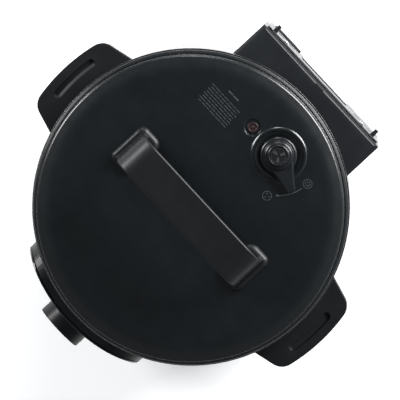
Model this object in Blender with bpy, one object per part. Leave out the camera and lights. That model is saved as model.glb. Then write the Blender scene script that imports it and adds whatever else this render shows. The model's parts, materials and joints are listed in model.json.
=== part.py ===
"""Electric pressure cooker with a bayonet lid, a strap handle and a rotary dial.

Metres, +Z up. The origin is on the pot's axis, on the surface that the feet stand on.
The control panel faces -Y, the rear housing +Y, and the side handles lie along X.
Every piece is one closed body. Neighbours keep a gap of 0.3 mm or more.
"""
import math

import bmesh
import bpy
from mathutils import Vector

# Driving dimensions
GAP = 0.0003
HALF_DEPTH = 0.188        # pot axis to the dial's face, and to the rear spacer pegs' tips
RIM_R = 0.1578            # widest radius of the lid
SHELL_R = 0.1580
SHELL_WALL = 0.0012
POT_R = 0.1190            # inner pot, outside; about 7.5 litres inside
POT_WALL = 0.0010

# Levels above the surface that the feet stand on
TRAY_Z = 0.0070
SHELL_LOW = 0.0180
LINER_Z = 0.0390
POT_Z = 0.0610
HANDLE_LOW = 0.1940
HANDLE_TOP = 0.2120
SHELL_TOP = 0.2257
LINER_TOP = 0.2308
POT_TOP = 0.2361
COLLAR_TOP = 0.2465
LOCK_Z = (0.2312, 0.2398)
LID_LOW = 0.2480
PAN_Z = 0.2500
LID_TOP = 0.2760
STRAP_TOP = 0.3300

# Large and small rounds
RING_STEPS = 48
POT_STEPS = 40
SMALL_STEPS = 16

# Floor tray and feet
FOOT_XY = 0.0880
FOOT_R = 0.0130
TRAY_FLOOR = 0.0028
TRAY_R = 0.1580
TRAY_LIP_Z = 0.0380
BOARD_LOW = 0.0200
POST_X = (-0.1000, -0.0400)
POST_Y = (-0.0300, 0.0300)

# Liner, heating plate and inner pot
LINER_R = 0.1234
LINER_FLANGE_R = 0.1344
PLATE_R = 0.1050
SENSOR_R = 0.0150
POT_FLANGE_R = 0.1262

# Lid
LID_SHOULDER_R = 0.1405
LID_SHOULDER_FOOT_R = 0.1535
LID_SKIN = 0.0050
VALVE_XY = (0.0210, 0.1012)
VALVE_RECESS_R = 0.0240
VALVE_BEAD_R = 0.0276
BEAD_RISE = 0.0009
FLOAT_XY = (-0.0169, 0.1012)
FLOAT_RECESS_R = 0.0094
RECESS_DEPTH = 0.0020
LEVER_ANGLE = math.radians(-23.5)
LEVER_REACH = 0.0385

# Bayonet
LUG_COUNT = 8
LUG_SPAN = math.radians(20)
PAN_SKIRT_R = 0.1280
PAN_SKIRT_LOW = 0.2335
PAN_LUG_R = 0.1330
RING_LUG_R = 0.1335
RING_R = 0.1440

# Strap handle
STRAP_WIDTH = 0.0380
STRAP_THICK = 0.0065
STRAP_BEND_R = 0.0190
STRAP_LEG_X = 0.0835
PAD_X = 0.0785
PAD_SIZE = (0.0300, 0.0480)

# Side handles
EAR_R = 0.1890
EAR_ROOT_Y = 0.0560
EAR_CORNER_R = 0.0165
EAR_CORNER_Y = 0.0335
GROOVE_R = (0.1735, 0.1800)
GROOVE_TURN = math.radians(9.9)
GROOVE_DEPTH = 0.0028

# Control panel
PANEL_HALF = 0.0800
PANEL_LOW = 0.0700
PANEL_TOP = 0.2200
PANEL_CORNER = 0.0350
PANEL_R = 0.1715
FASCIA_R = 0.1690
DIAL_Z = 0.1600
DIAL_R = 0.0255
BUTTON_X = 0.0300
BUTTON_Z = 0.1080
BUTTON_R = 0.0085
BUTTON_FRONT = -0.1700
DISPLAY_HALF = 0.0320
DISPLAY_Z = (0.1940, 0.2100)
BOARD_Y = -0.1446

# Rear housing
REAR_HALF = 0.0844
REAR_LOW = 0.0550
REAR_TOP = 0.2245
REAR_Y = 0.1780
REAR_CORNER = 0.0120
CHAMFER_RUN = 0.0034
CHAMFER_DROP = 0.0024
COVER_Y = 0.1803
CUP_HALF = 0.0300
CUP_Z = (0.1000, 0.1520)
CUP_WALL = 0.0015
BAY_Z = (0.0960, 0.1640)
INLET_XZ = (-0.0560, 0.0850)
SCREW_XZ = (0.0560, 0.2000)
PEG_X = 0.0715
PEG_Z = 0.2020


def clear_scene():
    for old in list(bpy.data.objects):
        bpy.data.objects.remove(old)


def material(name, colour, roughness, metallic=0.0):
    made = bpy.data.materials.new(name)
    made.use_nodes = True
    shader = made.node_tree.nodes["Principled BSDF"]
    shader.inputs["Base Color"].default_value = (*colour, 1.0)
    shader.inputs["Roughness"].default_value = roughness
    shader.inputs["Metallic"].default_value = metallic
    made.diffuse_color = (*colour, 1.0)
    return made


FINISHES = {
    "lid_plastic": ((0.020, 0.024, 0.027), 0.34, 0.0),
    "handle_plastic": ((0.022, 0.024, 0.026), 0.42, 0.0),
    "gloss_panel": ((0.010, 0.010, 0.012), 0.12, 0.0),
    "shell_paint": ((0.025, 0.026, 0.028), 0.38, 0.4),
    "steel": ((0.62, 0.62, 0.61), 0.25, 1.0),
    "aluminium": ((0.66, 0.67, 0.68), 0.40, 1.0),
    "silicone": ((0.70, 0.71, 0.70), 0.55, 0.0),
    "red_plastic": ((0.30, 0.03, 0.03), 0.40, 0.0),
    "rubber": ((0.03, 0.03, 0.03), 0.80, 0.0),
    "smoke_plastic": ((0.10, 0.11, 0.12), 0.15, 0.0),
    "board": ((0.03, 0.16, 0.07), 0.55, 0.0),
    "component": ((0.04, 0.04, 0.05), 0.45, 0.0),
    "brass": ((0.72, 0.55, 0.25), 0.30, 1.0),
}


def add(name, bm, finish, origin=(0.0, 0.0, 0.0), parent=None):
    """Make an object whose origin is at the given world point."""
    bmesh.ops.recalc_face_normals(bm, faces=bm.faces)
    bmesh.ops.translate(bm, verts=bm.verts, vec=-Vector(origin))
    mesh = bpy.data.meshes.new(name)
    bm.to_mesh(mesh)
    bm.free()
    mesh.materials.append(material(name, *FINISHES[finish]))
    mesh.shade_smooth()
    mesh.set_sharp_from_angle(angle=math.radians(35))
    obj = bpy.data.objects.new(name, mesh)
    bpy.context.scene.collection.objects.link(obj)
    held_at = parent.location if parent else Vector()
    obj.parent = parent
    obj.location = Vector(origin) - held_at
    return obj


def axis_empty(name, point):
    """An empty on a joint's axis, which the moving pieces are parented to."""
    empty = bpy.data.objects.new(name, None)
    empty.location = point
    empty.empty_display_size = 0.02
    bpy.context.scene.collection.objects.link(empty)
    return empty


def boolean(obj, bm, operation="DIFFERENCE"):
    """Cut, join or intersect obj with a helper body that isn't part of the model."""
    bmesh.ops.recalc_face_normals(bm, faces=bm.faces)
    mesh = bpy.data.meshes.new("tool_mesh")
    bm.to_mesh(mesh)
    bm.free()
    tool = bpy.data.objects.new(f"tool_{obj.name}_{len(obj.modifiers)}", mesh)
    tool.hide_render = True
    tool.display_type = "WIRE"
    bpy.context.scene.collection.objects.link(tool)
    step = obj.modifiers.new(f"{operation.lower()}_{len(obj.modifiers)}", "BOOLEAN")
    step.operation = operation
    step.solver = "EXACT"
    step.object = tool


def bevel(obj, width, segments=2, angle=50):
    step = obj.modifiers.new("bevel", "BEVEL")
    step.width = width
    step.segments = segments
    step.limit_method = "ANGLE"
    step.angle_limit = math.radians(angle)


# Shapes

def point_on(axis, u, v, w):
    """Put in-plane u, v and the distance w along an axis into X, Y, Z."""
    if axis == "Z":
        return (u, v, w)
    if axis == "Y":
        return (u, w, v)
    return (w, u, v)


def turned(profile, steps, centre=(0.0, 0.0), axis="Z", bm=None):
    """Turn a closed outline of (radius, distance along the axis) points."""
    bm = bm or bmesh.new()
    rings = []
    for radius, along in profile:
        if radius == 0.0:
            rings.append([bm.verts.new(point_on(axis, *centre, along))])
            continue
        loop = []
        for step in range(steps):
            turn = 2 * math.pi * step / steps
            u = centre[0] + radius * math.cos(turn)
            v = centre[1] + radius * math.sin(turn)
            loop.append(bm.verts.new(point_on(axis, u, v, along)))
        rings.append(loop)
    for this, other in zip(rings, rings[1:] + rings[:1]):
        for step in range(steps):
            ahead = (step + 1) % steps
            corners = [this[step % len(this)], this[ahead % len(this)],
                       other[ahead % len(other)], other[step % len(other)]]
            kept = list(dict.fromkeys(corners))
            if len(kept) > 2:
                bm.faces.new(kept)
    return bm


def rod(radius, low, high, centre=(0.0, 0.0), axis="Z", steps=SMALL_STEPS, bm=None):
    profile = [(0.0, low), (radius, low), (radius, high), (0.0, high)]
    return turned(profile, steps, centre, axis, bm)


def ring(inner, outer, low, high, steps, centre=(0.0, 0.0), axis="Z", bm=None):
    profile = [(inner, low), (outer, low), (outer, high), (inner, high)]
    return turned(profile, steps, centre, axis, bm)


def prism(outline, low, high, axis="Z", bm=None):
    """Extrude a closed outline of (u, v) points along an axis."""
    bm = bm or bmesh.new()
    near = [bm.verts.new(point_on(axis, u, v, low)) for u, v in outline]
    far = [bm.verts.new(point_on(axis, u, v, high)) for u, v in outline]
    bm.faces.new(near)
    bm.faces.new(far[::-1])
    for index in range(len(outline)):
        ahead = (index + 1) % len(outline)
        bm.faces.new((near[index], far[index], far[ahead], near[ahead]))
    return bm


def block(low, high, bm=None):
    outline = [(low[0], low[1]), (high[0], low[1]), (high[0], high[1]), (low[0], high[1])]
    return prism(outline, low[2], high[2], "Z", bm)


def arc(centre, radius, start, end, steps):
    points = []
    for step in range(steps + 1):
        turn = start + (end - start) * step / steps
        points.append((centre[0] + radius * math.cos(turn), centre[1] + radius * math.sin(turn)))
    return points


def rounded_box(half_width, low, high, top_corner, low_corner, steps=5):
    """Outline centred on u = 0, with its own corner radius at the top and the bottom."""
    corners = [(half_width - top_corner, high - top_corner, top_corner, 0.0),
               (top_corner - half_width, high - top_corner, top_corner, 0.5),
               (low_corner - half_width, low + low_corner, low_corner, 1.0),
               (half_width - low_corner, low + low_corner, low_corner, 1.5)]
    outline = []
    for u, v, radius, start in corners:
        outline += arc((u, v), radius, start * math.pi, (start + 0.5) * math.pi, steps)
    return outline


def shifted(outline, du, dv):
    return [(u + du, v + dv) for u, v in outline]


def sectors(inner, outer, low, high, span, bm=None):
    """Equally spaced lugs, each a piece of a ring."""
    bm = bm or bmesh.new()
    for lug in range(LUG_COUNT):
        middle = 2 * math.pi * lug / LUG_COUNT
        outline = arc((0, 0), outer, middle - span / 2, middle + span / 2, 3)
        outline += arc((0, 0), inner, middle + span / 2, middle - span / 2, 3)
        prism(outline, low, high, "Z", bm)
    return bm


# Base

def foot_places():
    for front, y_sign in (("front", -1), ("rear", 1)):
        for side, x_sign in (("left", -1), ("right", 1)):
            yield f"foot_{front}_{side}", (FOOT_XY * x_sign, FOOT_XY * y_sign)


def make_feet():
    for name, centre in foot_places():
        profile = [(0.0, 0.0), (FOOT_R - 0.0015, 0.0), (FOOT_R, 0.0015), (FOOT_R, TRAY_Z - GAP),
                   (0.0042, TRAY_Z - GAP), (0.0042, 0.0125), (0.0, 0.0125)]
        add(name, turned(profile, SMALL_STEPS, centre), "rubber")


def make_tray():
    """Floor pan with foot holes, air slots and four posts for the power board."""
    floor_top = TRAY_Z + TRAY_FLOOR
    seam = SHELL_LOW - GAP
    profile = [(0.0, TRAY_Z), (TRAY_R - 0.0060, TRAY_Z), (TRAY_R, TRAY_Z + 0.0060), (TRAY_R, seam),
               (TRAY_R - 0.0020, seam), (TRAY_R - 0.0020, TRAY_LIP_Z), (TRAY_R - 0.0050, TRAY_LIP_Z),
               (TRAY_R - 0.0050, floor_top), (0.0, floor_top)]
    tray = add("base_tray", turned(profile, RING_STEPS), "handle_plastic")
    posts = bmesh.new()
    for x in POST_X:
        for y in POST_Y:
            rod(0.0035, TRAY_Z + 0.0010, BOARD_LOW - GAP, (x, y), steps=10, bm=posts)
    boolean(tray, posts, "UNION")
    holes = bmesh.new()
    for _name, centre in foot_places():
        rod(0.0046, 0.0, 0.0150, centre, steps=SMALL_STEPS, bm=holes)
    for row in range(5):
        y = -0.0240 + 0.0120 * row
        block((0.0500, y - 0.0020, 0.0), (0.1000, y + 0.0020, 0.0150), holes)
    boolean(tray, holes)


def make_shell():
    """Painted steel tube, open behind the panel and behind the rear housing for the wiring."""
    tube = ring(SHELL_R - SHELL_WALL, SHELL_R, SHELL_LOW, SHELL_TOP, RING_STEPS)
    shell = add("outer_shell", tube, "shell_paint")
    windows = block((-0.0600, -0.1700, 0.0900), (0.0600, -0.1300, 0.2080))
    block((-0.0700, 0.1300, 0.0720), (-0.0400, 0.1700, 0.0980), windows)
    boolean(shell, windows)


def make_collar():
    """Top ring of the base: an outer wall, a drip channel and the locking ring's ledge."""
    profile = [(0.1350, 0.2279), (0.1472, 0.2279), (0.1472, 0.2375), (0.1562, 0.2375),
               (0.1562, SHELL_TOP + GAP), (0.1592, SHELL_TOP + GAP), (0.1592, 0.2450),
               (0.1582, COLLAR_TOP), (0.1562, COLLAR_TOP), (0.1562, 0.2400), (0.1446, 0.2400),
               (0.1446, 0.2309), (0.1350, 0.2309)]
    collar = add("rim_collar", turned(profile, RING_STEPS), "lid_plastic")
    boolean(collar, rod(0.0030, 0.2300, 0.2450, (0.0, 0.1518)))


def make_locking_ring():
    """Steel bayonet ring. Its lugs stop just short of the lid's lugs."""
    low, high = LOCK_Z
    locking = add("locking_ring", ring(0.1385, RING_R, low, high, RING_STEPS), "steel")
    boolean(locking, sectors(RING_LUG_R, 0.1395, high - 0.0018, high, LUG_SPAN), "UNION")


def make_liner():
    """Aluminium vessel that the inner pot stands in, with a flange at the top."""
    wall = 0.0012
    inner = LINER_R - wall
    floor = LINER_Z + wall
    hole = SENSOR_R + 0.0015
    profile = [(hole, LINER_Z), (LINER_R - 0.0044, LINER_Z), (LINER_R, LINER_Z + 0.0044),
               (LINER_R, LINER_TOP - wall), (LINER_FLANGE_R, LINER_TOP - wall), (LINER_FLANGE_R, LINER_TOP),
               (inner, LINER_TOP), (inner, floor + 0.0040), (inner - 0.0038, floor), (hole, floor)]
    add("cooker_liner", turned(profile, POT_STEPS), "aluminium")


def make_heating_plate():
    low = LINER_Z + 0.0012 + GAP
    top = POT_Z - GAP
    hole = SENSOR_R + 0.0010
    profile = [(hole, low), (PLATE_R - 0.0050, low), (PLATE_R - 0.0050, top - 0.0067),
               (PLATE_R, top - 0.0067), (PLATE_R, top - 0.0017), (PLATE_R - 0.0020, top), (hole, top)]
    add("heating_plate", turned(profile, POT_STEPS), "aluminium")


def make_sensor():
    """Sprung plunger that touches the pot, in a stirrup under the liner."""
    axis = axis_empty("sensor_axis", (0.0, 0.0, POT_Z))
    profile = [(0.0, 0.0300), (0.0055, 0.0300), (0.0055, 0.0352), (0.0115, 0.0352), (0.0115, 0.0480),
               (SENSOR_R, 0.0480), (SENSOR_R, 0.0590), (0.0138, POT_Z - GAP), (0.0, POT_Z - GAP)]
    add("sensor_plunger", turned(profile, SMALL_STEPS), "aluminium", (0.0, 0.0, POT_Z), axis)
    cup = [(0.0, 0.0225), (0.0160, 0.0225), (0.0160, 0.0372), (0.0215, 0.0372),
           (0.0215, LINER_Z - GAP), (0.0148, LINER_Z - GAP), (0.0148, 0.0240), (0.0, 0.0240)]
    add("sensor_stirrup", turned(cup, SMALL_STEPS), "steel")


def make_sensor_spring():
    """Compression spring: a round wire swept along a helix."""
    wire = 0.0006
    coil = 0.0088
    low = 0.0250
    high = 0.0340
    turns = 3
    steps = 12 * turns
    sides = 5
    bm = bmesh.new()
    loops = []
    for step in range(steps + 1):
        turn = 2 * math.pi * turns * step / steps
        out = Vector((math.cos(turn), math.sin(turn), 0.0))
        middle = out * coil + Vector((0.0, 0.0, low + (high - low) * step / steps))
        loop = []
        for side in range(sides):
            around = 2 * math.pi * side / sides
            offset = out * wire * math.cos(around) + Vector((0, 0, wire * math.sin(around)))
            loop.append(bm.verts.new(middle + offset))
        loops.append(loop)
    for this, other in zip(loops, loops[1:]):
        for side in range(sides):
            ahead = (side + 1) % sides
            bm.faces.new((this[side], this[ahead], other[ahead], other[side]))
    bm.faces.new(loops[0])
    bm.faces.new(loops[-1][::-1])
    add("sensor_spring", bm, "steel")


def ear_outline(inner_r, outer_r, root_y, corner_r, corner_y, steps=6):
    """Plan of a side handle on +X: two arcs about the pot's axis and two round corners."""
    reach = outer_r - corner_r
    corner_turn = math.asin(corner_y / reach)
    corner = Vector((reach * math.cos(corner_turn), corner_y))
    root_turn = math.asin(root_y / inner_r)
    root = Vector((inner_r * math.cos(root_turn), root_y))
    away = root - corner
    tangent = math.atan2(away.y, away.x) - math.acos(corner_r / away.length)
    upper = arc(corner, corner_r, corner_turn, tangent, 4)
    lower = [(x, -y) for x, y in reversed(upper)]
    outer = arc((0, 0), outer_r, -corner_turn, corner_turn, steps)
    inner = arc((0, 0), inner_r, root_turn, -root_turn, steps + 4)
    return lower + outer[1:-1] + upper + inner


def make_side_handle(name, side):
    """Hollow ear with a groove on top and a finger recess below."""
    outline = ear_outline(SHELL_R + GAP, EAR_R, EAR_ROOT_Y, EAR_CORNER_R, EAR_CORNER_Y)
    recess = ear_outline(0.1640, EAR_R - 0.0040, 0.0430, 0.0110, 0.0285)
    groove = arc((0, 0), GROOVE_R[1], -GROOVE_TURN, GROOVE_TURN, 6)
    groove += arc((0, 0), GROOVE_R[0], GROOVE_TURN, -GROOVE_TURN, 6)
    turn = [(side * x, y) for x, y in outline]
    handle = add(name, prism(turn, HANDLE_LOW, HANDLE_TOP), "handle_plastic")
    bevel(handle, 0.0025)
    recess = [(side * x, y) for x, y in recess]
    boolean(handle, prism(recess, HANDLE_LOW - 0.0100, HANDLE_TOP - 0.0055))
    groove = [(side * x, y) for x, y in groove]
    boolean(handle, prism(groove, HANDLE_TOP - GROOVE_DEPTH, HANDLE_TOP + 0.0050))


def make_power_parts():
    """Power board on the tray's posts, with its relay, terminal block and the fuses."""
    top = BOARD_LOW + 0.0016
    margin = 0.0070
    board = block((POST_X[0] - margin, POST_Y[0] - margin, BOARD_LOW),
                  (POST_X[1] + margin, POST_Y[1] + margin, top))
    add("power_board", board, "board")
    add("power_relay", block((-0.0950, -0.0250, top + GAP), (-0.0730, -0.0080, 0.0360)), "component")
    terminal = block((-0.0600, 0.0080, top + GAP), (-0.0400, 0.0300, 0.0340))
    add("terminal_block", terminal, "silicone")
    switch = [(0.0, 0.0225), (0.0040, 0.0225), (0.0040, 0.0250), (0.0090, 0.0250),
              (0.0090, LINER_Z - GAP), (0.0, LINER_Z - GAP)]
    add("pressure_switch", turned(switch, SMALL_STEPS, (0.0600, -0.0450)), "component")
    add("thermal_fuse", rod(0.0035, -0.0120, 0.0120, (0.0600, 0.0340), "Y", 12), "brass")


# Control panel

def panel_band(outline, inner, outer, name, finish):
    """A piece of a tube about the pot's axis, trimmed to an outline seen from the front."""
    made = add(name, prism(outline, -0.2000, -0.1300, "Y"), finish)
    boolean(made, ring(inner, outer, 0.0500, 0.2400, 112), "INTERSECT")
    return made


def make_panel():
    outline = rounded_box(PANEL_HALF, PANEL_LOW, PANEL_TOP, PANEL_CORNER, 0.0200)
    pocket = rounded_box(PANEL_HALF - 0.0030, PANEL_LOW + 0.0030, PANEL_TOP - 0.0030,
                         PANEL_CORNER - 0.0030, 0.0170)
    housing = panel_band(outline, SHELL_R + GAP, FASCIA_R - GAP, "panel_housing", "handle_plastic")
    boolean(housing, prism(pocket, -0.2100, -0.1200, "Y"))
    fascia = panel_band(outline, FASCIA_R, PANEL_R, "panel_fascia", "gloss_panel")
    display_low, display_high = DISPLAY_Z
    holes = rod(0.0060, -0.2000, -0.1500, (0.0, DIAL_Z), "Y")
    for x in (-BUTTON_X, BUTTON_X):
        rod(BUTTON_R + 0.0004, -0.2000, -0.1500, (x, BUTTON_Z), "Y", bm=holes)
    block((-DISPLAY_HALF, -0.2000, display_low), (DISPLAY_HALF, -0.1500, display_high), holes)
    boolean(fascia, holes)
    inset = DISPLAY_HALF - GAP
    window = [(-inset, display_low + GAP), (inset, display_low + GAP),
              (inset, display_high - GAP), (-inset, display_high - GAP)]
    panel_band(window, FASCIA_R + GAP, PANEL_R - 0.0004, "display_window", "smoke_plastic")


def make_panel_electronics():
    board = block((-0.0550, BOARD_Y, 0.0880), (0.0550, BOARD_Y + 0.0016, 0.2060))
    add("control_board", board, "board")
    display = block((-0.0350, -0.1640, 0.1900), (0.0350, -0.1590, 0.2140))
    add("display_module", display, "component")
    case = block((-0.0070, -0.1520, DIAL_Z - 0.0070), (0.0070, BOARD_Y - GAP, DIAL_Z + 0.0070))
    encoder = add("encoder_case", case, "component")
    boolean(encoder, rod(0.0034, -0.1600, BOARD_Y - 0.0015, (0.0, DIAL_Z), "Y"))


def make_dial():
    """Knob, shaft and face disc, turning about a line along Y."""
    centre = (0.0, DIAL_Z)
    origin = (0.0, -PANEL_R, DIAL_Z)
    axis = axis_empty("dial_axis", origin)
    back = -PANEL_R - 0.0008
    front = -HALF_DEPTH
    knob = [(0.0034, -0.1800), (0.0034, back), (DIAL_R, back), (DIAL_R, front + 0.0016),
            (DIAL_R - 0.0016, front), (0.0215, front), (0.0215, front + 0.0012),
            (0.0, front + 0.0012), (0.0, -0.1800)]
    add("dial_knob", turned(knob, 32, centre, "Y"), "handle_plastic", origin, axis)
    disc = rod(0.0212, front + 0.0002, front + 0.0009, centre, "Y", 32)
    add("dial_disc", disc, "steel", origin, axis)
    shaft = rod(0.0030, -0.1797, -0.1470, centre, "Y", 12)
    add("dial_shaft", shaft, "steel", origin, axis)


def make_buttons():
    """Two push buttons that travel along +Y to switches on the board."""
    for name, x in (("button_start", BUTTON_X), ("button_cancel", -BUTTON_X)):
        profile = [(0.0, BUTTON_FRONT), (BUTTON_R - 0.0010, BUTTON_FRONT), (BUTTON_R, BUTTON_FRONT + 0.0010),
                   (BUTTON_R, -0.1610), (0.0100, -0.1610), (0.0100, -0.1590), (0.0030, -0.1590),
                   (0.0030, BOARD_Y - 0.0016), (0.0, BOARD_Y - 0.0016)]
        body = turned(profile, SMALL_STEPS, (x, BUTTON_Z), "Y")
        add(name, body, "handle_plastic", (x, BUTTON_FRONT, BUTTON_Z))


# Rear housing

def make_rear_housing():
    outline = rounded_box(REAR_HALF, REAR_LOW, REAR_TOP, REAR_CORNER, 0.0060, 4)
    housing = add("rear_housing", prism(outline, 0.1200, REAR_Y, "Y"), "handle_plastic")
    above = REAR_TOP + 0.0001
    wedge = [(REAR_Y - CHAMFER_RUN, above), (REAR_Y + CHAMFER_RUN, above),
             (REAR_Y + CHAMFER_RUN, REAR_TOP - 2 * CHAMFER_DROP)]
    boolean(housing, prism(wedge, -0.1000, 0.1000, "X"))
    boolean(housing, rod(SHELL_R + GAP, 0.0400, 0.2400, steps=112))
    pockets = block((-0.0340, 0.1608, BAY_Z[0]), (0.0340, 0.2000, BAY_Z[1]))
    block((-0.0800, 0.1500, 0.0600), (-0.0366, 0.2000, 0.1100), pockets)
    block((0.0366, 0.1580, 0.0600), (0.0800, 0.2000, 0.1900), pockets)
    block((-0.0800, 0.1580, 0.1126), (-0.0366, 0.2000, 0.1900), pockets)
    boolean(housing, pockets)


def make_rear_cover():
    """Back plate with two spacer pegs, a window for the cup and a hole for the inlet."""
    low_y = REAR_Y + GAP
    outline = rounded_box(REAR_HALF - 0.0040, REAR_LOW + 0.0030, REAR_TOP - 0.0080, 0.0080, 0.0050, 3)
    cover = add("rear_cover", prism(outline, low_y, COVER_Y, "Y"), "handle_plastic")
    pegs = bmesh.new()
    for x in (-PEG_X, PEG_X):
        profile = [(0.0, COVER_Y - 0.0010), (0.0026, COVER_Y - 0.0010), (0.0018, HALF_DEPTH),
                   (0.0, HALF_DEPTH)]
        turned(profile, 12, (x, PEG_Z), "Y", pegs)
    boolean(cover, pegs, "UNION")
    inside = REAR_Y - 0.0050
    outside = HALF_DEPTH + 0.0050
    holes = block((-0.0330, inside, 0.0970), (0.0330, outside, 0.1600))
    x, z = INLET_XZ
    block((x - 0.0138, inside, z - 0.0108), (x + 0.0138, outside, z + 0.0108), holes)
    for x in (-SCREW_XZ[0], SCREW_XZ[0]):
        rod(0.0019, inside, outside, (x, SCREW_XZ[1]), "Y", 12, holes)
    boolean(cover, holes)


def make_cover_screws():
    head = COVER_Y + 0.0018
    tip = COVER_Y - 0.0016
    for name, x in (("cover_screw_left", -SCREW_XZ[0]), ("cover_screw_right", SCREW_XZ[0])):
        profile = [(0.0, head), (0.0028, head), (0.0034, COVER_Y + GAP),
                   (0.0015, COVER_Y + GAP), (0.0015, tip), (0.0, tip)]
        add(name, turned(profile, 12, (x, SCREW_XZ[1]), "Y"), "steel")


def make_inlet():
    """Mains inlet: a socket with a flange, and three contact pins through its back wall."""
    x, z = INLET_XZ
    flange_low = COVER_Y + GAP
    back = 0.1570
    body = block((x - 0.0135, back, z - 0.0105), (x + 0.0135, flange_low + 0.0005, z + 0.0105))
    inlet = add("mains_inlet", body, "component")
    flange = shifted(rounded_box(0.0185, -0.0135, 0.0135, 0.0030, 0.0030, 3), x, z)
    boolean(inlet, prism(flange, flange_low, flange_low + 0.0018, "Y"), "UNION")
    hollow = block((x - 0.0110, back + 0.0030, z - 0.0080), (x + 0.0110, 0.1950, z + 0.0080))
    places = (("line", -0.0065, -0.0025), ("neutral", 0.0065, -0.0025), ("earth", 0.0, 0.0030))
    boolean(inlet, hollow)
    slots = bmesh.new()
    for name, dx, dz in places:
        u, w = x + dx, z + dz
        block((u - 0.0013, back - 0.0060, w - 0.0023), (u + 0.0013, back + 0.0040, w + 0.0023), slots)
        pin = block((u - 0.0010, back - 0.0020, w - 0.0020), (u + 0.0010, back + 0.0170, w + 0.0020))
        add(f"inlet_pin_{name}", pin, "brass")
    boolean(inlet, slots)


def make_cup():
    """Drip cup, open at the top, that pulls out of its bay along +Y."""
    low, high = CUP_Z
    front = 0.1614
    body = block((-CUP_HALF, front, low), (CUP_HALF, REAR_Y - GAP, high))
    cup = add("drip_cup", body, "smoke_plastic", (0.0, REAR_Y, low))
    face = rounded_box(0.0325, 0.0975, 0.1595, 0.0030, 0.0030, 2)
    boolean(cup, prism(face, REAR_Y - 0.0010, COVER_Y + 0.0012, "Y"), "UNION")
    inside = CUP_HALF - CUP_WALL
    hollow = block((-inside, front + CUP_WALL, low + CUP_WALL), (inside, REAR_Y - 0.0018, high + 0.0100))
    boolean(cup, hollow)
    boolean(cup, block((-0.0120, COVER_Y, 0.1510), (0.0120, COVER_Y + 0.0050, 0.1545)))


# Pot, seal and lid

def make_inner_pot(parent):
    inner = POT_R - POT_WALL
    profile = [(0.0, POT_Z), (POT_R - 0.0110, POT_Z), (POT_R - 0.0033, POT_Z + 0.0032),
               (POT_R, POT_Z + 0.0110), (POT_R, LINER_TOP + GAP + 0.0010),
               (POT_R + 0.0015, LINER_TOP + GAP), (POT_FLANGE_R - 0.0012, LINER_TOP + GAP),
               (POT_FLANGE_R, LINER_TOP + 0.0020),
               (POT_FLANGE_R, POT_TOP - 0.0012), (POT_FLANGE_R - 0.0012, POT_TOP),
               (inner + 0.0012, POT_TOP), (inner, POT_TOP - 0.0012), (inner, POT_Z + 0.0112),
               (inner - 0.0030, POT_Z + 0.0042), (inner - 0.0102, POT_Z + 0.0012), (0.0, POT_Z + 0.0012)]
    add("inner_pot", turned(profile, POT_STEPS), "steel", (0.0, 0.0, POT_TOP), parent)


def make_seal(parent):
    """Silicone ring between the pot's rim and the lid's pan."""
    profile = [(0.1146, 0.2380), (0.1160, POT_TOP + GAP), (0.1258, POT_TOP + GAP),
               (0.1262, 0.2380), (0.1262, PAN_Z - 0.0004), (0.1220, PAN_Z - 0.0004),
               (0.1220, 0.2410), (0.1150, 0.2410)]
    add("sealing_ring", turned(profile, POT_STEPS), "silicone", (0.0, 0.0, POT_TOP), parent)


def lid_profile():
    """Closed outline of the lid cover: crown, rounded shoulder, groove, lip and inside."""
    depth = LID_TOP - 0.0010 - 0.2585
    reach = LID_SHOULDER_FOOT_R - LID_SHOULDER_R
    profile = [(0.0, LID_TOP), (0.1200, LID_TOP)]
    for step in range(6):
        turn = 0.5 * math.pi * step / 5
        profile.append((LID_SHOULDER_R + reach * math.sin(turn), 0.2585 + depth * math.cos(turn)))
    profile += [(LID_SHOULDER_FOOT_R, 0.2535), (0.1572, 0.2535), (RIM_R, 0.2528), (RIM_R, LID_LOW),
                (0.1515, LID_LOW), (0.1505, 0.2585), (0.1430, 0.2690), (0.1380, LID_TOP - LID_SKIN - 0.0010),
                (0.1200, LID_TOP - LID_SKIN), (0.0110, LID_TOP - LID_SKIN), (0.0110, PAN_Z + 0.0016),
                (0.0, PAN_Z + 0.0016)]
    return profile


def make_lid_cover(parent):
    cover = add("lid_cover", turned(lid_profile(), RING_STEPS), "lid_plastic", (0, 0, PAN_Z), parent)
    floor = LID_TOP - RECESS_DEPTH
    above = LID_TOP + 0.0100
    bead = [(VALVE_RECESS_R - 0.0010, floor), (VALVE_BEAD_R, floor), (VALVE_BEAD_R, LID_TOP),
            (VALVE_BEAD_R - 0.0012, LID_TOP + BEAD_RISE), (VALVE_RECESS_R - 0.0010, LID_TOP + BEAD_RISE)]
    boolean(cover, turned(bead, 28, VALVE_XY), "UNION")
    recesses = rod(VALVE_RECESS_R, floor, above, VALVE_XY, steps=28)
    rod(FLOAT_RECESS_R, floor, above, FLOAT_XY, bm=recesses)
    boolean(cover, recesses)
    holes = rod(0.0070, 0.2600, above, VALVE_XY)
    rod(0.0062, 0.2600, above, FLOAT_XY, bm=holes)
    for x in (-PAD_X, PAD_X):
        rod(0.0024, 0.2600, above, (x, 0.0), steps=12, bm=holes)
    rod(0.0029, 0.2400, 0.2640, steps=12, bm=holes)
    boolean(cover, holes)


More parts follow.
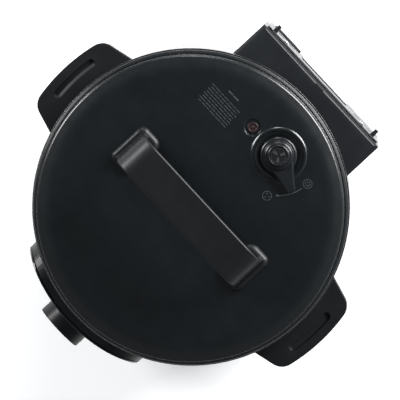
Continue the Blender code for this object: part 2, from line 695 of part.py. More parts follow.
def make_pan(parent):
    """Steel inner lid with a skirt and bayonet lugs."""
    inner = PAN_SKIRT_R - 0.0012
    top = PAN_Z + 0.0012
    profile = [(0.0, PAN_Z), (inner, PAN_Z), (inner, PAN_SKIRT_LOW), (PAN_SKIRT_R, PAN_SKIRT_LOW),
               (PAN_SKIRT_R, top), (0.0, top)]
    pan = add("lid_pan", turned(profile, POT_STEPS), "steel", (0, 0, PAN_Z), parent)
    lug_top = PAN_SKIRT_LOW + 0.0020
    lugs = sectors(PAN_SKIRT_R - 0.0008, PAN_LUG_R, PAN_SKIRT_LOW, lug_top, LUG_SPAN)
    boolean(pan, lugs, "UNION")
    holes = rod(0.0048, 0.2400, 0.2600, VALVE_XY)
    rod(0.0034, 0.2400, 0.2600, FLOAT_XY, bm=holes)
    rod(0.0029, 0.2400, 0.2600, steps=12, bm=holes)
    boolean(pan, holes)


def make_lid_fittings(parent):
    """Seal rack, centre screw, steam pipe and the shield over the pipe's mouth."""
    rack = ring(0.1128, 0.1140, 0.2385, PAN_Z - GAP, POT_STEPS)
    add("seal_rack", rack, "steel", (0, 0, PAN_Z), parent)
    screw = [(0.0, 0.2468), (0.0060, 0.2468), (0.0070, PAN_Z - GAP), (0.0025, PAN_Z - GAP),
             (0.0025, 0.2620), (0.0, 0.2620)]
    add("lid_centre_screw", turned(screw, 16), "steel", (0, 0, PAN_Z), parent)
    nut_low = PAN_Z + 0.0012 + GAP
    pipe = [(0.0022, 0.2440), (0.0045, 0.2440), (0.0045, nut_low), (0.0080, nut_low),
            (0.0080, 0.2555), (0.0045, 0.2555), (0.0045, 0.2826), (0.0022, 0.2826)]
    add("steam_pipe", turned(pipe, SMALL_STEPS, VALVE_XY), "steel", (0, 0, PAN_Z), parent)
    shield = [(0.0, 0.2385), (0.0074, 0.2385), (0.0084, 0.2395), (0.0084, PAN_Z - GAP),
              (0.0072, PAN_Z - GAP), (0.0072, 0.2397), (0.0, 0.2397)]
    guard = add("steam_shield", turned(shield, SMALL_STEPS, VALVE_XY), "steel", (0, 0, PAN_Z), parent)
    x, y = VALVE_XY
    slots = block((x - 0.0120, y - 0.0015, 0.2410), (x + 0.0120, y + 0.0015, 0.2470))
    boolean(guard, slots)
    boolean(guard, block((x - 0.0015, y - 0.0120, 0.2410), (x + 0.0015, y + 0.0120, 0.2470)))


def strap_path():
    """Centre line of the strap from one pad to the other, as (x, z) points."""
    top = STRAP_TOP - STRAP_THICK / 2
    bend = (STRAP_LEG_X - STRAP_BEND_R - 0.0035, top - 0.0012 - STRAP_BEND_R)
    half = [(0.0, top), (0.0300, top - 0.0003)]
    half += reversed(arc(bend, STRAP_BEND_R, math.radians(8), math.radians(90), 7))
    half.append((STRAP_LEG_X, LID_TOP + 0.0020))
    return [(-x, z) for x, z in reversed(half[1:])] + half


def strap_section():
    """Half width and half thickness of each corner of the strap's section."""
    side = STRAP_WIDTH / 2
    flat = STRAP_THICK / 2
    soft = 0.0018
    quarter = [(side, flat - soft), (side - soft, flat)]
    return quarter + [(-u, v) for u, v in reversed(quarter)] + [(-u, -v) for u, v in quarter] \
        + [(u, -v) for u, v in reversed(quarter)]


def make_strap(parent):
    """Strap handle: a bent bar joined to two pads on the lid."""
    path = [Vector(point) for point in strap_path()]
    bm = bmesh.new()
    loops = []
    for index, point in enumerate(path):
        before = path[max(index - 1, 0)]
        after = path[min(index + 1, len(path) - 1)]
        along = (after - before).normalized()
        up = Vector((-along.y, along.x))
        loop = []
        for across, lift in strap_section():
            spot = point + up * lift
            loop.append(bm.verts.new((spot.x, across, spot.y)))
        loops.append(loop)
    count = len(loops[0])
    for this, other in zip(loops, loops[1:]):
        for corner in range(count):
            ahead = (corner + 1) % count
            bm.faces.new((this[corner], this[ahead], other[ahead], other[corner]))
    bm.faces.new(loops[0])
    bm.faces.new(loops[-1][::-1])
    strap = add("lid_handle", bm, "handle_plastic", (0, 0, PAN_Z), parent)
    half_x, half_y = PAD_SIZE[0] / 2, PAD_SIZE[1] / 2
    pads = bmesh.new()
    for x in (-PAD_X, PAD_X):
        low = shifted(rounded_box(half_x, -half_y, half_y, 0.0080, 0.0080, 4), x, 0.0)
        prism(low, LID_TOP + GAP, LID_TOP + 0.0048, bm=pads)
    boolean(strap, pads, "UNION")
    holes = bmesh.new()
    for x in (-PAD_X, PAD_X):
        rod(0.0023, LID_TOP - 0.0010, LID_TOP + 0.0040, (x, 0.0), steps=12, bm=holes)
    boolean(strap, holes)


def make_strap_screws(parent):
    under = LID_TOP - LID_SKIN - GAP
    for name, x in (("handle_screw_left", -PAD_X), ("handle_screw_right", PAD_X)):
        profile = [(0.0, under - 0.0026), (0.0045, under - 0.0026), (0.0050, under), (0.0019, under),
                   (0.0019, LID_TOP + 0.0036), (0.0, LID_TOP + 0.0036)]
        add(name, turned(profile, 12, (x, 0.0)), "steel", (x, 0.0, PAN_Z), parent)


def make_valve(lid):
    """Pressure release knob with its lever, and the weight that closes the steam pipe."""
    origin = (*VALVE_XY, LID_TOP)
    axis = axis_empty("valve_axis", Vector(origin) - lid.location)
    axis.parent = lid
    base = LID_TOP - RECESS_DEPTH + 0.0005
    profile = [(0.0068, base), (0.0180, base), (0.0180, 0.2790), (0.0168, 0.2804), (0.0140, 0.2806),
               (0.0129, 0.2860), (0.0118, 0.2872), (0.0102, 0.2872), (0.0102, 0.2866), (0.0, 0.2866),
               (0.0, 0.2852), (0.0068, 0.2852)]
    knob = add_held("valve_knob", turned(profile, 24, VALVE_XY), "handle_plastic", origin, axis)
    out = Vector((math.cos(LEVER_ANGLE), math.sin(LEVER_ANGLE)))
    across = Vector((-out.y, out.x))
    centre = Vector(VALVE_XY)
    outline = []
    for reach, half in ((0.0120, -0.0110), (0.0240, -0.0082), (0.0350, -0.0056), (LEVER_REACH, -0.0034),
                        (LEVER_REACH, 0.0034), (0.0350, 0.0056), (0.0240, 0.0082), (0.0120, 0.0110)):
        outline.append(tuple(centre + out * reach + across * half))
    lever_low = LID_TOP + BEAD_RISE + 0.0005
    boolean(knob, prism(outline, lever_low, lever_low + 0.0050), "UNION")
    add_held("valve_weight", rod(0.0060, 0.2829, 0.2849, VALVE_XY), "steel", origin, axis)


def add_held(name, bm, finish, origin, axis):
    """Add a piece whose parent empty is itself parented, with both origins on the joint's axis."""
    made = add(name, bm, finish, origin)
    made.parent = axis
    made.location = (0.0, 0.0, 0.0)
    return made


def make_float(lid):
    """Red pin that rises under pressure, with its silicone cap below the pan."""
    origin = (*FLOAT_XY, LID_TOP)
    axis = axis_empty("float_axis", Vector(origin) - lid.location)
    axis.parent = lid
    pin = [(0.0, 0.2452), (0.0029, 0.2452), (0.0029, 0.2700), (0.0055, 0.2700), (0.0055, 0.2750),
           (0.0047, LID_TOP - 0.0002), (0.0, LID_TOP - 0.0002)]
    add_held("float_pin", turned(pin, SMALL_STEPS, FLOAT_XY), "red_plastic", origin, axis)
    cap = [(0.0, 0.2410), (0.0050, 0.2410), (0.0062, 0.2449), (0.0, 0.2449)]
    add_held("float_seal", turned(cap, SMALL_STEPS, FLOAT_XY), "silicone", origin, axis)


def make_base():
    make_feet()
    make_tray()
    make_shell()
    make_collar()
    make_locking_ring()
    make_liner()
    make_heating_plate()
    make_sensor()
    make_sensor_spring()
    make_side_handle("side_handle_left", -1)
    make_side_handle("side_handle_right", 1)
    make_power_parts()


def make_front():
    make_panel()
    make_panel_electronics()
    make_dial()
    make_buttons()


def make_rear():
    make_rear_housing()
    make_rear_cover()
    make_cover_screws()
    make_inlet()
    make_cup()


def make_lid():
    lid = axis_empty("lid_axis", (0.0, 0.0, PAN_Z))
    make_lid_cover(lid)
    make_pan(lid)
    make_lid_fittings(lid)
    make_strap(lid)
    make_strap_screws(lid)
    make_valve(lid)
    make_float(lid)


def main():
    clear_scene()
    make_base()
    make_front()
    make_rear()
    pot = axis_empty("pot_axis", (0.0, 0.0, POT_TOP))
    make_inner_pot(pot)
    make_seal(pot)
    make_lid()


main()
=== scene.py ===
"""Looks of the electric pressure cooker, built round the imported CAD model.

Metres, +Z up, pot axis at X = Y = 0. The panel faces -Y and the rear housing +Y.
Each visible piece is a fine mesh that stands for its CAD node and rides on its body.
"""
import json
import math
import random

import bmesh
import bpy
from mathutils import Matrix, Vector


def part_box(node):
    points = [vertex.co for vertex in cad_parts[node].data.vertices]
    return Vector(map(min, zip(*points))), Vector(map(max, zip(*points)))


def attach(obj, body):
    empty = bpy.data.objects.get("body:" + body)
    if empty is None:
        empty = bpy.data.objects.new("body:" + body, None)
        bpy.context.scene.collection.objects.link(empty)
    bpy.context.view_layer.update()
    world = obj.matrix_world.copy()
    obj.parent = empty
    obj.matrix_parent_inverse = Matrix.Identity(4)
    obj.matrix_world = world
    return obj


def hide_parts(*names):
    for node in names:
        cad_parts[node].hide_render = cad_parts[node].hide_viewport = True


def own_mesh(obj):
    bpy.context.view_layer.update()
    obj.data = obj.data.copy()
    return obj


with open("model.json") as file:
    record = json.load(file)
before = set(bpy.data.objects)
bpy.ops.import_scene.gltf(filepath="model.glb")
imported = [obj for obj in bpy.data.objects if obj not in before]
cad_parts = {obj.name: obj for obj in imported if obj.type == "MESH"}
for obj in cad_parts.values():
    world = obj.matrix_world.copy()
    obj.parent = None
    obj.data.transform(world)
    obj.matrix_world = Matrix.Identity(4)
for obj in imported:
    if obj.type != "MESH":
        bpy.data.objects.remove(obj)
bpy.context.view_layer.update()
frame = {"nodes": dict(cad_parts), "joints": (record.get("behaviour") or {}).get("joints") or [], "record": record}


# ---------------------------------------------------------------- sizes from the frame

def low(node):
    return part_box(node)[0]


def high(node):
    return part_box(node)[1]


def middle(node):
    return (low(node) + high(node)) / 2


def heights(node):
    return low(node).z, high(node).z


def joint(name):
    for entry in frame["joints"]:
        if entry["name"] == name:
            return entry
    raise KeyError(name)


GAP = 0.0003
FINE = 192                 # steps round a large turned piece
ROUND = 96                 # steps round a small one
LID_R = high("lid_cover").x
BEAD_RISE = 0.0009
LID_LOW, BEAD_TOP = heights("lid_cover")
LID_TOP = BEAD_TOP - BEAD_RISE
SHELL_R = high("outer_shell").x
COLLAR_R = high("rim_collar").x
COLLAR_TOP = high("rim_collar").z
PAN_LOW, PAN_TOP = heights("lid_pan")
VALVE = Vector(joint("valve_turn")["pos_m"])
FLOAT = middle("float_pin")
DIAL = Vector(joint("dial_turn")["pos_m"])
DIAL_R = high("dial_knob").x
LEVER_ANGLE = math.radians(-23.5)
SHELL_STEPS = 256          # steps round the lid, the shell and what follows them
PAD_INNER_X = 0.0640       # inner end of the strap's pads
SCREW_HOLE_R = 0.0029
LUG_COUNT = 8
LUG_SPAN = math.radians(10)
INK_THICK = 0.00005
INK_LIFT = 0.00006


# ---------------------------------------------------------------- materials

def new_material(name):
    made = bpy.data.materials.new(name)
    made.use_nodes = True
    tree = made.node_tree
    return made, tree, tree.nodes["Principled BSDF"]


def link(tree, output, socket):
    tree.links.new(output, socket)


def fixed(node, **values):
    """Set the node's own sockets. An underscore in a name stands for a space."""
    for name, value in values.items():
        node.inputs[name.replace("_", " ")].default_value = value


def coordinates(tree, stretch=(1.0, 1.0, 1.0)):
    source = tree.nodes.new("ShaderNodeTexCoord")
    scale = tree.nodes.new("ShaderNodeMapping")
    scale.inputs["Scale"].default_value = stretch
    link(tree, source.outputs["Object"], scale.inputs["Vector"])
    return scale.outputs["Vector"]


def ring_coordinates(tree, across, along):
    """Distance from the pot's axis and height, for marks left by spinning or turning."""
    place = coordinates(tree)
    parts = tree.nodes.new("ShaderNodeSeparateXYZ")
    link(tree, place, parts.inputs[0])
    flat = tree.nodes.new("ShaderNodeCombineXYZ")
    link(tree, parts.outputs["X"], flat.inputs["X"])
    link(tree, parts.outputs["Y"], flat.inputs["Y"])
    length = tree.nodes.new("ShaderNodeVectorMath")
    length.operation = "LENGTH"
    link(tree, flat.outputs[0], length.inputs[0])
    joined = tree.nodes.new("ShaderNodeCombineXYZ")
    for value, factor, socket in ((length.outputs["Value"], across, "X"),
                                  (parts.outputs["Z"], along, "Y")):
        times = tree.nodes.new("ShaderNodeMath")
        times.operation = "MULTIPLY"
        times.inputs[1].default_value = factor
        link(tree, value, times.inputs[0])
        link(tree, times.outputs[0], joined.inputs[socket])
    return joined.outputs[0]


def noise(tree, vector, scale, detail=4.0, roughness=0.55):
    made = tree.nodes.new("ShaderNodeTexNoise")
    fixed(made, Scale=scale, Detail=detail, Roughness=roughness)
    link(tree, vector, made.inputs["Vector"])
    return made.outputs["Fac"]


def spread(tree, value, start, end, lowest=0.3, highest=0.7):
    made = tree.nodes.new("ShaderNodeMapRange")
    fixed(made, From_Min=lowest, From_Max=highest, To_Min=start, To_Max=end)
    link(tree, value, made.inputs["Value"])
    return made.outputs["Result"]


def tint(tree, value, dark, light):
    made = tree.nodes.new("ShaderNodeMix")
    made.data_type = "RGBA"
    fixed(made, A=(*dark, 1.0), B=(*light, 1.0))
    link(tree, value, made.inputs["Factor"])
    return made.outputs["Result"]


def bump(tree, shader, value, strength, distance):
    made = tree.nodes.new("ShaderNodeBump")
    fixed(made, Strength=strength, Distance=distance)
    link(tree, value, made.inputs["Height"])
    link(tree, made.outputs["Normal"], shader.inputs["Normal"])


def moulded(name, colour, roughness, grain=1500.0, depth=0.00002, vary=0.05, coat=0.0, specular=0.5):
    """Moulded plastic: faint mottling, uneven gloss and a fine spark-eroded grain."""
    made, tree, shader = new_material(name)
    place = coordinates(tree)
    mottle = spread(tree, noise(tree, place, 14.0), 0.0, 1.0)
    dark = [0.82 * c for c in colour]
    light = [1.18 * c for c in colour]
    link(tree, tint(tree, mottle, dark, light), shader.inputs["Base Color"])
    gloss = noise(tree, place, 55.0, 6.0, 0.65)
    link(tree, spread(tree, gloss, roughness - vary, roughness + vary), shader.inputs["Roughness"])
    bump(tree, shader, noise(tree, place, grain, 2.0), 0.35, depth)
    fixed(shader, Specular_IOR_Level=specular, Coat_Weight=coat, Coat_Roughness=0.06)
    return made


def spun_metal(name, colour, roughness, across=2600.0, along=2600.0, vary=0.07, depth=0.00001):
    """Spun or brushed metal, with its marks running round the pot's axis."""
    made, tree, shader = new_material(name)
    marks = noise(tree, ring_coordinates(tree, across, along), 1.0, 3.0, 0.7)
    cloud = noise(tree, coordinates(tree), 22.0, 5.0, 0.6)
    dark = [0.84 * c for c in colour]
    link(tree, tint(tree, spread(tree, cloud, 0.0, 1.0), dark, colour), shader.inputs["Base Color"])
    link(tree, spread(tree, marks, roughness - vary, roughness + vary), shader.inputs["Roughness"])
    bump(tree, shader, marks, 0.25, depth)
    fixed(shader, Metallic=1.0)
    return made


def rubbery(name, colour, roughness, specular=0.35, subsurface=0.0):
    """Rubber or silicone: cloudy, uneven and faintly grained."""
    made, tree, shader = new_material(name)
    place = coordinates(tree)
    cloud = spread(tree, noise(tree, place, 30.0, 5.0), 0.0, 1.0)
    dark = [0.88 * c for c in colour]
    link(tree, tint(tree, cloud, dark, colour), shader.inputs["Base Color"])
    link(tree, spread(tree, noise(tree, place, 90.0), roughness - 0.06, roughness + 0.06),
                   shader.inputs["Roughness"])
    bump(tree, shader, noise(tree, place, 700.0), 0.3, 0.00004)
    fixed(shader, Specular_IOR_Level=specular, Subsurface_Weight=subsurface,
          Subsurface_Radius=(0.004, 0.003, 0.003))
    return made


def smoked(name, colour, roughness, transmission):
    """Clear plastic with a smoke tint, fine scratches and a little surface haze."""
    made, tree, shader = new_material(name)
    place = coordinates(tree, (1.0, 1.0, 6.0))
    haze = noise(tree, place, 120.0, 5.0, 0.7)
    link(tree, spread(tree, haze, roughness, roughness + 0.08), shader.inputs["Roughness"])
    cloud = spread(tree, noise(tree, coordinates(tree), 25.0), 0.0, 1.0)
    link(tree, tint(tree, cloud, [0.9 * c for c in colour], colour), shader.inputs["Base Color"])
    fixed(shader, Transmission_Weight=transmission, IOR=1.49)
    return made


def printed(name, colour, roughness=0.5):
    """Thin printed or etched marks, a little uneven as ink is."""
    made, tree, shader = new_material(name)
    ink = spread(tree, noise(tree, coordinates(tree), 900.0, 3.0), 0.0, 1.0)
    dark = [0.7 * c for c in colour]
    link(tree, tint(tree, ink, dark, colour), shader.inputs["Base Color"])
    link(tree, spread(tree, ink, roughness, roughness + 0.1), shader.inputs["Roughness"])
    return made


def circuit_board(name):
    """Solder mask over copper tracks."""
    made, tree, shader = new_material(name)
    bricks = tree.nodes.new("ShaderNodeTexBrick")
    fixed(bricks, Scale=160.0, Color1=(0.012, 0.090, 0.035, 1.0), Color2=(0.016, 0.120, 0.045, 1.0),
          Mortar=(0.040, 0.190, 0.080, 1.0))
    link(tree, coordinates(tree), bricks.inputs["Vector"])
    link(tree, bricks.outputs["Color"], shader.inputs["Base Color"])
    gloss = spread(tree, noise(tree, coordinates(tree), 80.0), 0.35, 0.5)
    link(tree, gloss, shader.inputs["Roughness"])
    bump(tree, shader, bricks.outputs["Fac"], 0.3, 0.00005)
    return made


LID = moulded("lid_gloss_black", (0.0036, 0.0049, 0.0057), 0.27, 1800.0, 0.0000006, 0.03, specular=0.50)
SATIN = moulded("satin_black", (0.0060, 0.0067, 0.0075), 0.38, 1500.0, 0.000006, 0.04, specular=0.25)
REAR = moulded("rear_satin_black", (0.0108, 0.0120, 0.0134), 0.30, 1500.0, 0.000003, 0.04, specular=0.15)
KNOB = moulded("knob_gloss_black", (0.0075, 0.0086, 0.0098), 0.30, 1700.0, 0.000001, 0.03, specular=0.26)
DIAL_BLACK = moulded("dial_satin_black", (0.0085, 0.0092, 0.0102), 0.36, 1500.0, 0.000006, 0.04,
                     specular=0.14)
TEXTURED = moulded("textured_black", (0.0070, 0.0079, 0.0088), 0.46, 900.0, 0.00003, 0.05, specular=0.16)
PIANO = moulded("piano_black", (0.0045, 0.0045, 0.0050), 0.16, 2400.0, 0.000003, 0.03, 0.15, 0.3)
SHELL = moulded("shell_satin_paint", (0.0140, 0.0145, 0.0155), 0.33, 2200.0, 0.000006, 0.03, coat=0.25)
STEEL = spun_metal("spun_steel", (0.60, 0.60, 0.59), 0.24)
BRIGHT = spun_metal("turned_steel", (0.66, 0.66, 0.66), 0.18, 1600.0, 1600.0)
DARK_STEEL = spun_metal("dark_spun_disc", (0.075, 0.077, 0.082), 0.30, 3000.0, 3000.0)
ALUMINIUM = spun_metal("spun_aluminium", (0.62, 0.63, 0.64), 0.36, 1200.0, 1200.0, 0.08, 0.00002)
SILICONE = rubbery("clear_silicone", (0.62, 0.63, 0.62), 0.50, 0.4, 0.25)
RED = moulded("red_valve", (0.0150, 0.0066, 0.0072), 0.42, 1600.0, 0.00002, 0.05, specular=0.35)
RUBBER = rubbery("foot_rubber", (0.018, 0.018, 0.018), 0.78)
SMOKE = smoked("smoked_clear", (0.16, 0.17, 0.18), 0.10, 0.75)
GLASS = smoked("display_glass", (0.02, 0.025, 0.03), 0.05, 0.35)
BOARD = circuit_board("solder_mask")
COMPONENT = moulded("component_black", (0.02, 0.02, 0.022), 0.5, 1200.0, 0.00003)
BRASS = spun_metal("brass", (0.70, 0.50, 0.22), 0.26)
INK = printed("grey_ink", (0.040, 0.043, 0.046), 0.45)
LIGHT_INK = printed("light_ink", (0.42, 0.43, 0.44), 0.5)
SLOT_FINISH = {
    "lid_plastic": LID, "handle_plastic": SATIN, "gloss_panel": PIANO, "shell_paint": SHELL,
    "steel": STEEL, "aluminium": ALUMINIUM, "silicone": SILICONE, "red_plastic": RED,
    "rubber": RUBBER, "smoke_plastic": SMOKE, "board": BOARD, "component": COMPONENT,
    "brass": BRASS,
}


# ---------------------------------------------------------------- shapes

def point_on(axis, u, v, w):
    if axis == "Z":
        return Vector((u, v, w))
    if axis == "Y":
        return Vector((u, w, v))
    return Vector((w, u, v))


def soften(points, steps=5):
    """Round the corners of a closed outline. A corner is (u, v) or (u, v, radius)."""
    outline = []
    for index, corner in enumerate(points):
        here = Vector(corner[:2])
        radius = corner[2] if len(corner) > 2 else 0.0
        if radius == 0.0:
            outline.append(tuple(here))
            continue
        back = Vector(points[index - 1][:2]) - here
        ahead = Vector(points[(index + 1) % len(points)][:2]) - here
        half = back.angle(ahead) / 2
        reach = min(radius / math.tan(half), 0.49 * back.length, 0.49 * ahead.length)
        radius = reach * math.tan(half)
        centre = here + (back.normalized() + ahead.normalized()).normalized() * radius / math.sin(half)
        start = here + back.normalized() * reach - centre
        end = here + ahead.normalized() * reach - centre
        sweep = math.atan2(start.cross(end), start.dot(end))
        for step in range(steps + 1):
            outline.append(tuple(centre + Matrix.Rotation(sweep * step / steps, 2) @ start))
    return outline


def arc(centre, radius, start, end, steps):
    points = []
    for step in range(steps + 1):
        turn = start + (end - start) * step / steps
        points.append((centre[0] + radius * math.cos(turn), centre[1] + radius * math.sin(turn)))
    return points


def loft(loops, closed=False, caps=True, bm=None):
    """Join equal rings of points with faces. A ring of one point is a tip."""
    bm = bm or bmesh.new()
    rings = [[bm.verts.new(point) for point in loop] for loop in loops]
    pairs = list(zip(rings, rings[1:]))
    if closed:
        pairs.append((rings[-1], rings[0]))
    count = max(len(ring) for ring in rings)
    for this, other in pairs:
        for step in range(count):
            ahead = (step + 1) % count
            corners = [this[step % len(this)], this[ahead % len(this)],
                       other[ahead % len(other)], other[step % len(other)]]
            kept = list(dict.fromkeys(corners))
            if len(kept) > 2:
                bm.faces.new(kept)
    if caps and not closed:
        for ring in (rings[0], rings[-1]):
            if len(ring) > 2:
                bm.faces.new(ring)
    return bm


def turned(profile, steps=FINE, centre=(0.0, 0.0), axis="Z", bm=None):
    """Turn a closed outline of (radius, distance along the axis) corners about an axis."""
    loops = []
    for radius, along in soften(profile):
        if radius < 1e-7:
            loops.append([point_on(axis, *centre, along)])
            continue
        loops.append([point_on(axis, centre[0] + radius * math.cos(2 * math.pi * step / steps),
                               centre[1] + radius * math.sin(2 * math.pi * step / steps), along)
                      for step in range(steps)])
    return loft(loops, closed=True, bm=bm)


def prism(outline, start, end, axis="Z", bm=None):
    loops = [[point_on(axis, u, v, along) for u, v in outline] for along in (start, end)]
    return loft(loops, bm=bm)


def rod(radius, start, end, steps=48, centre=(0.0, 0.0), axis="Z", bm=None):
    """A plain solid cylinder, mostly a cutter."""
    return turned([(0.0, start), (radius, start), (radius, end), (0.0, end)], steps, centre, axis, bm)


def oblong(u, v, half_u, half_v, radius=0.0, steps=4):
    """A rectangle about (u, v), with round corners if it has a radius."""
    return soften([(u - half_u, v - half_v, radius), (u + half_u, v - half_v, radius),
                   (u + half_u, v + half_v, radius), (u - half_u, v + half_v, radius)], steps)


def block(corner, opposite, bm=None):
    outline = [(corner[0], corner[1]), (opposite[0], corner[1]),
               (opposite[0], opposite[1]), (corner[0], opposite[1])]
    return prism(outline, corner[2], opposite[2], "Z", bm)


def rounded_box(half_width, bottom, top, top_corner, low_corner, steps=8):
    return soften([(half_width, bottom, low_corner), (half_width, top, top_corner),
                   (-half_width, top, top_corner), (-half_width, bottom, low_corner)], steps)


def shifted(outline, du, dv):
    return [(u + du, v + dv) for u, v in outline]


def pillow(outline, bottom, top, run, drop, bm=None, steps=4):
    """A flat-bottomed pad whose top edge rolls over by run inwards and drop down. The outline is convex."""
    centre = sum((Vector(point) for point in outline), Vector((0, 0))) / len(outline)
    loops = [[(u, v, bottom) for u, v in outline]]
    for step in range(steps + 1):
        turn = 0.5 * math.pi * step / steps
        inset = run * (1 - math.cos(turn))
        level = top - drop * (1 - math.sin(turn))
        loop = []
        for u, v in outline:
            away = Vector((u, v)) - centre
            spot = centre + away * (1 - inset / away.length)
            loop.append((spot.x, spot.y, level))
        loops.append(loop)
    return loft(loops, bm=bm)


def solid(name, bm, finish, sharp=32):
    bmesh.ops.recalc_face_normals(bm, faces=bm.faces)
    mesh = bpy.data.meshes.new(name)
    bm.to_mesh(mesh)
    bm.free()
    mesh.materials.append(finish)
    made = bpy.data.objects.new(name, mesh)
    bpy.context.scene.collection.objects.link(made)
    made["sharp"] = sharp
    return made


def bake(obj):
    """Keep the modifiers' result as the piece's own mesh."""
    graph = bpy.context.evaluated_depsgraph_get()
    mesh = bpy.data.meshes.new_from_object(obj.evaluated_get(graph))
    obj.modifiers.clear()
    obj.data = mesh


def boolean(obj, bm, operation="DIFFERENCE"):
    bmesh.ops.recalc_face_normals(bm, faces=bm.faces)
    mesh = bpy.data.meshes.new("tool")
    bm.to_mesh(mesh)
    bm.free()
    tool = bpy.data.objects.new("tool", mesh)
    bpy.context.scene.collection.objects.link(tool)
    step = obj.modifiers.new("boolean", "BOOLEAN")
    step.operation = operation
    step.solver = "EXACT"
    step.object = tool
    bake(obj)
    bpy.data.objects.remove(tool)


def bevel(obj, width, segments=4, angle=40):
    step = obj.modifiers.new("bevel", "BEVEL")
    step.width = width
    step.segments = segments
    step.limit_method = "ANGLE"
    step.angle_limit = math.radians(angle)
    bake(obj)


def place(obj, body, slot, *nodes):
    """Shade a finished piece and give it its body, its slot and the nodes it stands for."""
    obj.data.shade_smooth()
    obj.data.set_sharp_from_angle(angle=math.radians(obj["sharp"]))
    even = obj.modifiers.new("even_normals", "WEIGHTED_NORMAL")
    even.keep_sharp = True
    even.weight = 60
    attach(obj, body)
    if nodes:
        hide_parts(*nodes)
    return obj


# ---------------------------------------------------------------- lid

def make_lid_cover():
    """Lid shell: flat crown, a shallow cone, a rolled shoulder, a straight wall and a sloping lip."""
    skin = 0.0050
    wall = LID_R - 0.0045
    profile = [(0.0, LID_TOP), (0.1200, LID_TOP), (0.1408, LID_TOP, 0.0450),
               (0.1519, LID_TOP - 0.0033, 0.0072), (wall, LID_TOP - 0.0046, 0.0005),
               (wall, 0.2540, 0.0006), (0.1551, 0.2540, 0.0014),
               (0.1574, 0.2530, 0.0006), (LID_R, 0.2523, 0.0002), (LID_R, LID_LOW, 0.0005),
               (0.1512, LID_LOW, 0.0006), (0.1502, 0.2600, 0.0040),
               (0.1430, LID_TOP - skin - 0.0030, 0.0040), (0.1200, LID_TOP - skin, 0.0100),
               (0.0110, LID_TOP - skin, 0.0010),
               (0.0110, PAN_TOP + 0.0004, 0.0004), (0.0, PAN_TOP + 0.0004)]
    cover = solid("lid_shell", turned(profile, SHELL_STEPS), LID)
    floor = LID_TOP - 0.0020
    rise = LID_TOP + BEAD_RISE
    bead = [(0.0236, floor), (0.0289, LID_TOP - 0.0004), (0.0281, LID_TOP + 0.0001, 0.0008),
            (0.0270, rise, 0.0009), (0.0248, rise, 0.0007), (0.0240, rise - 0.0010, 0.0004),
            (0.0236, rise - 0.0014)]
    boolean(cover, turned(bead, ROUND, VALVE.xy), "UNION")
    above = LID_TOP + 0.0060
    tools = turned([(0.0, floor), (0.0190, floor, 0.0040), (0.0240, LID_TOP, 0.0010),
                    (0.0245, LID_TOP + 0.0007), (0.0245, above), (0.0, above)], ROUND, VALVE.xy)
    turned([(0.0, LID_TOP - 0.0014), (0.0079, LID_TOP - 0.0013, 0.0006), (0.0086, LID_TOP - 0.0003, 0.0006),
            (0.0096, LID_TOP + 0.0001), (0.0096, above), (0.0, above)], 64, FLOAT.xy, bm=tools)
    boolean(cover, tools)
    holes = rod(0.0070, 0.26, 0.28, 48, VALVE.xy)
    rod(0.0062, 0.26, 0.28, 48, FLOAT.xy, bm=holes)
    rod(SCREW_HOLE_R, 0.24, 0.264, 24, bm=holes)
    boolean(cover, holes)
    place(cover, "lid", "lid_plastic", "lid_cover")


def strap_path(leg_x, top, foot, bend_r, lean):
    """Centre line of the strap from its middle to a foot, as (x, z, flare)."""
    bend = (leg_x - bend_r - lean, top - 0.0014 - bend_r)
    points = [(0.0, top, 0.0), (0.0150, top - 0.0001, 0.0), (0.0300, top - 0.0004, 0.0),
              (0.0450, top - 0.0009, 0.0)]
    points += [(x, z, 0.0) for x, z in reversed(arc(bend, bend_r, math.radians(2), math.radians(90), 18))]
    start = points[-1]
    for step in range(1, 13):
        part = step / 12
        flare = max(0.0, (part - 0.55) / 0.45) ** 2
        points.append((start[0] + (leg_x - start[0]) * part, start[1] + (foot - start[1]) * part, flare))
    return points


def make_strap():
    """Strap handle: a soft-edged bar that flares into a rolled pad at each end."""
    width = 0.0380
    thick = 0.0065
    top = high("lid_handle").z - thick / 2
    foot = LID_TOP + 0.0022
    half = strap_path(0.0835, top, foot, 0.0190, 0.0006)
    path = [(-x, z, flare) for x, z, flare in reversed(half[1:])] + half
    loops = []
    for index, (x, z, flare) in enumerate(path):
        before = path[max(index - 1, 0)]
        after = path[min(index + 1, len(path) - 1)]
        along = Vector((after[0] - before[0], after[1] - before[1])).normalized()
        up = Vector((-along.y, along.x))
        half_w = width / 2 + 0.0018 * flare
        half_t = thick / 2 + 0.0030 * flare
        section = soften([(half_w, half_t, 0.0022), (-half_w, half_t, 0.0022),
                          (-half_w, -half_t, 0.0022), (half_w, -half_t, 0.0022)], 5)
        loops.append([(x + up.x * lift, across, z + up.y * lift) for across, lift in section])
    strap = solid("strap_handle", loft(loops), SATIN, 40)
    pads = bmesh.new()
    size = high("lid_handle")
    for side in (-1, 1):
        corners = [(side * PAD_INNER_X, -size.y, 0.0100), (side * size.x, -size.y, 0.0070),
                   (side * size.x, size.y, 0.0070), (side * PAD_INNER_X, size.y, 0.0100)]
        pillow(soften(corners, 8), LID_TOP + GAP, LID_TOP + 0.0058, 0.0072, 0.0050, pads, 12)
    boolean(strap, pads, "UNION")
    place(strap, "lid", "handle_plastic", "lid_handle")


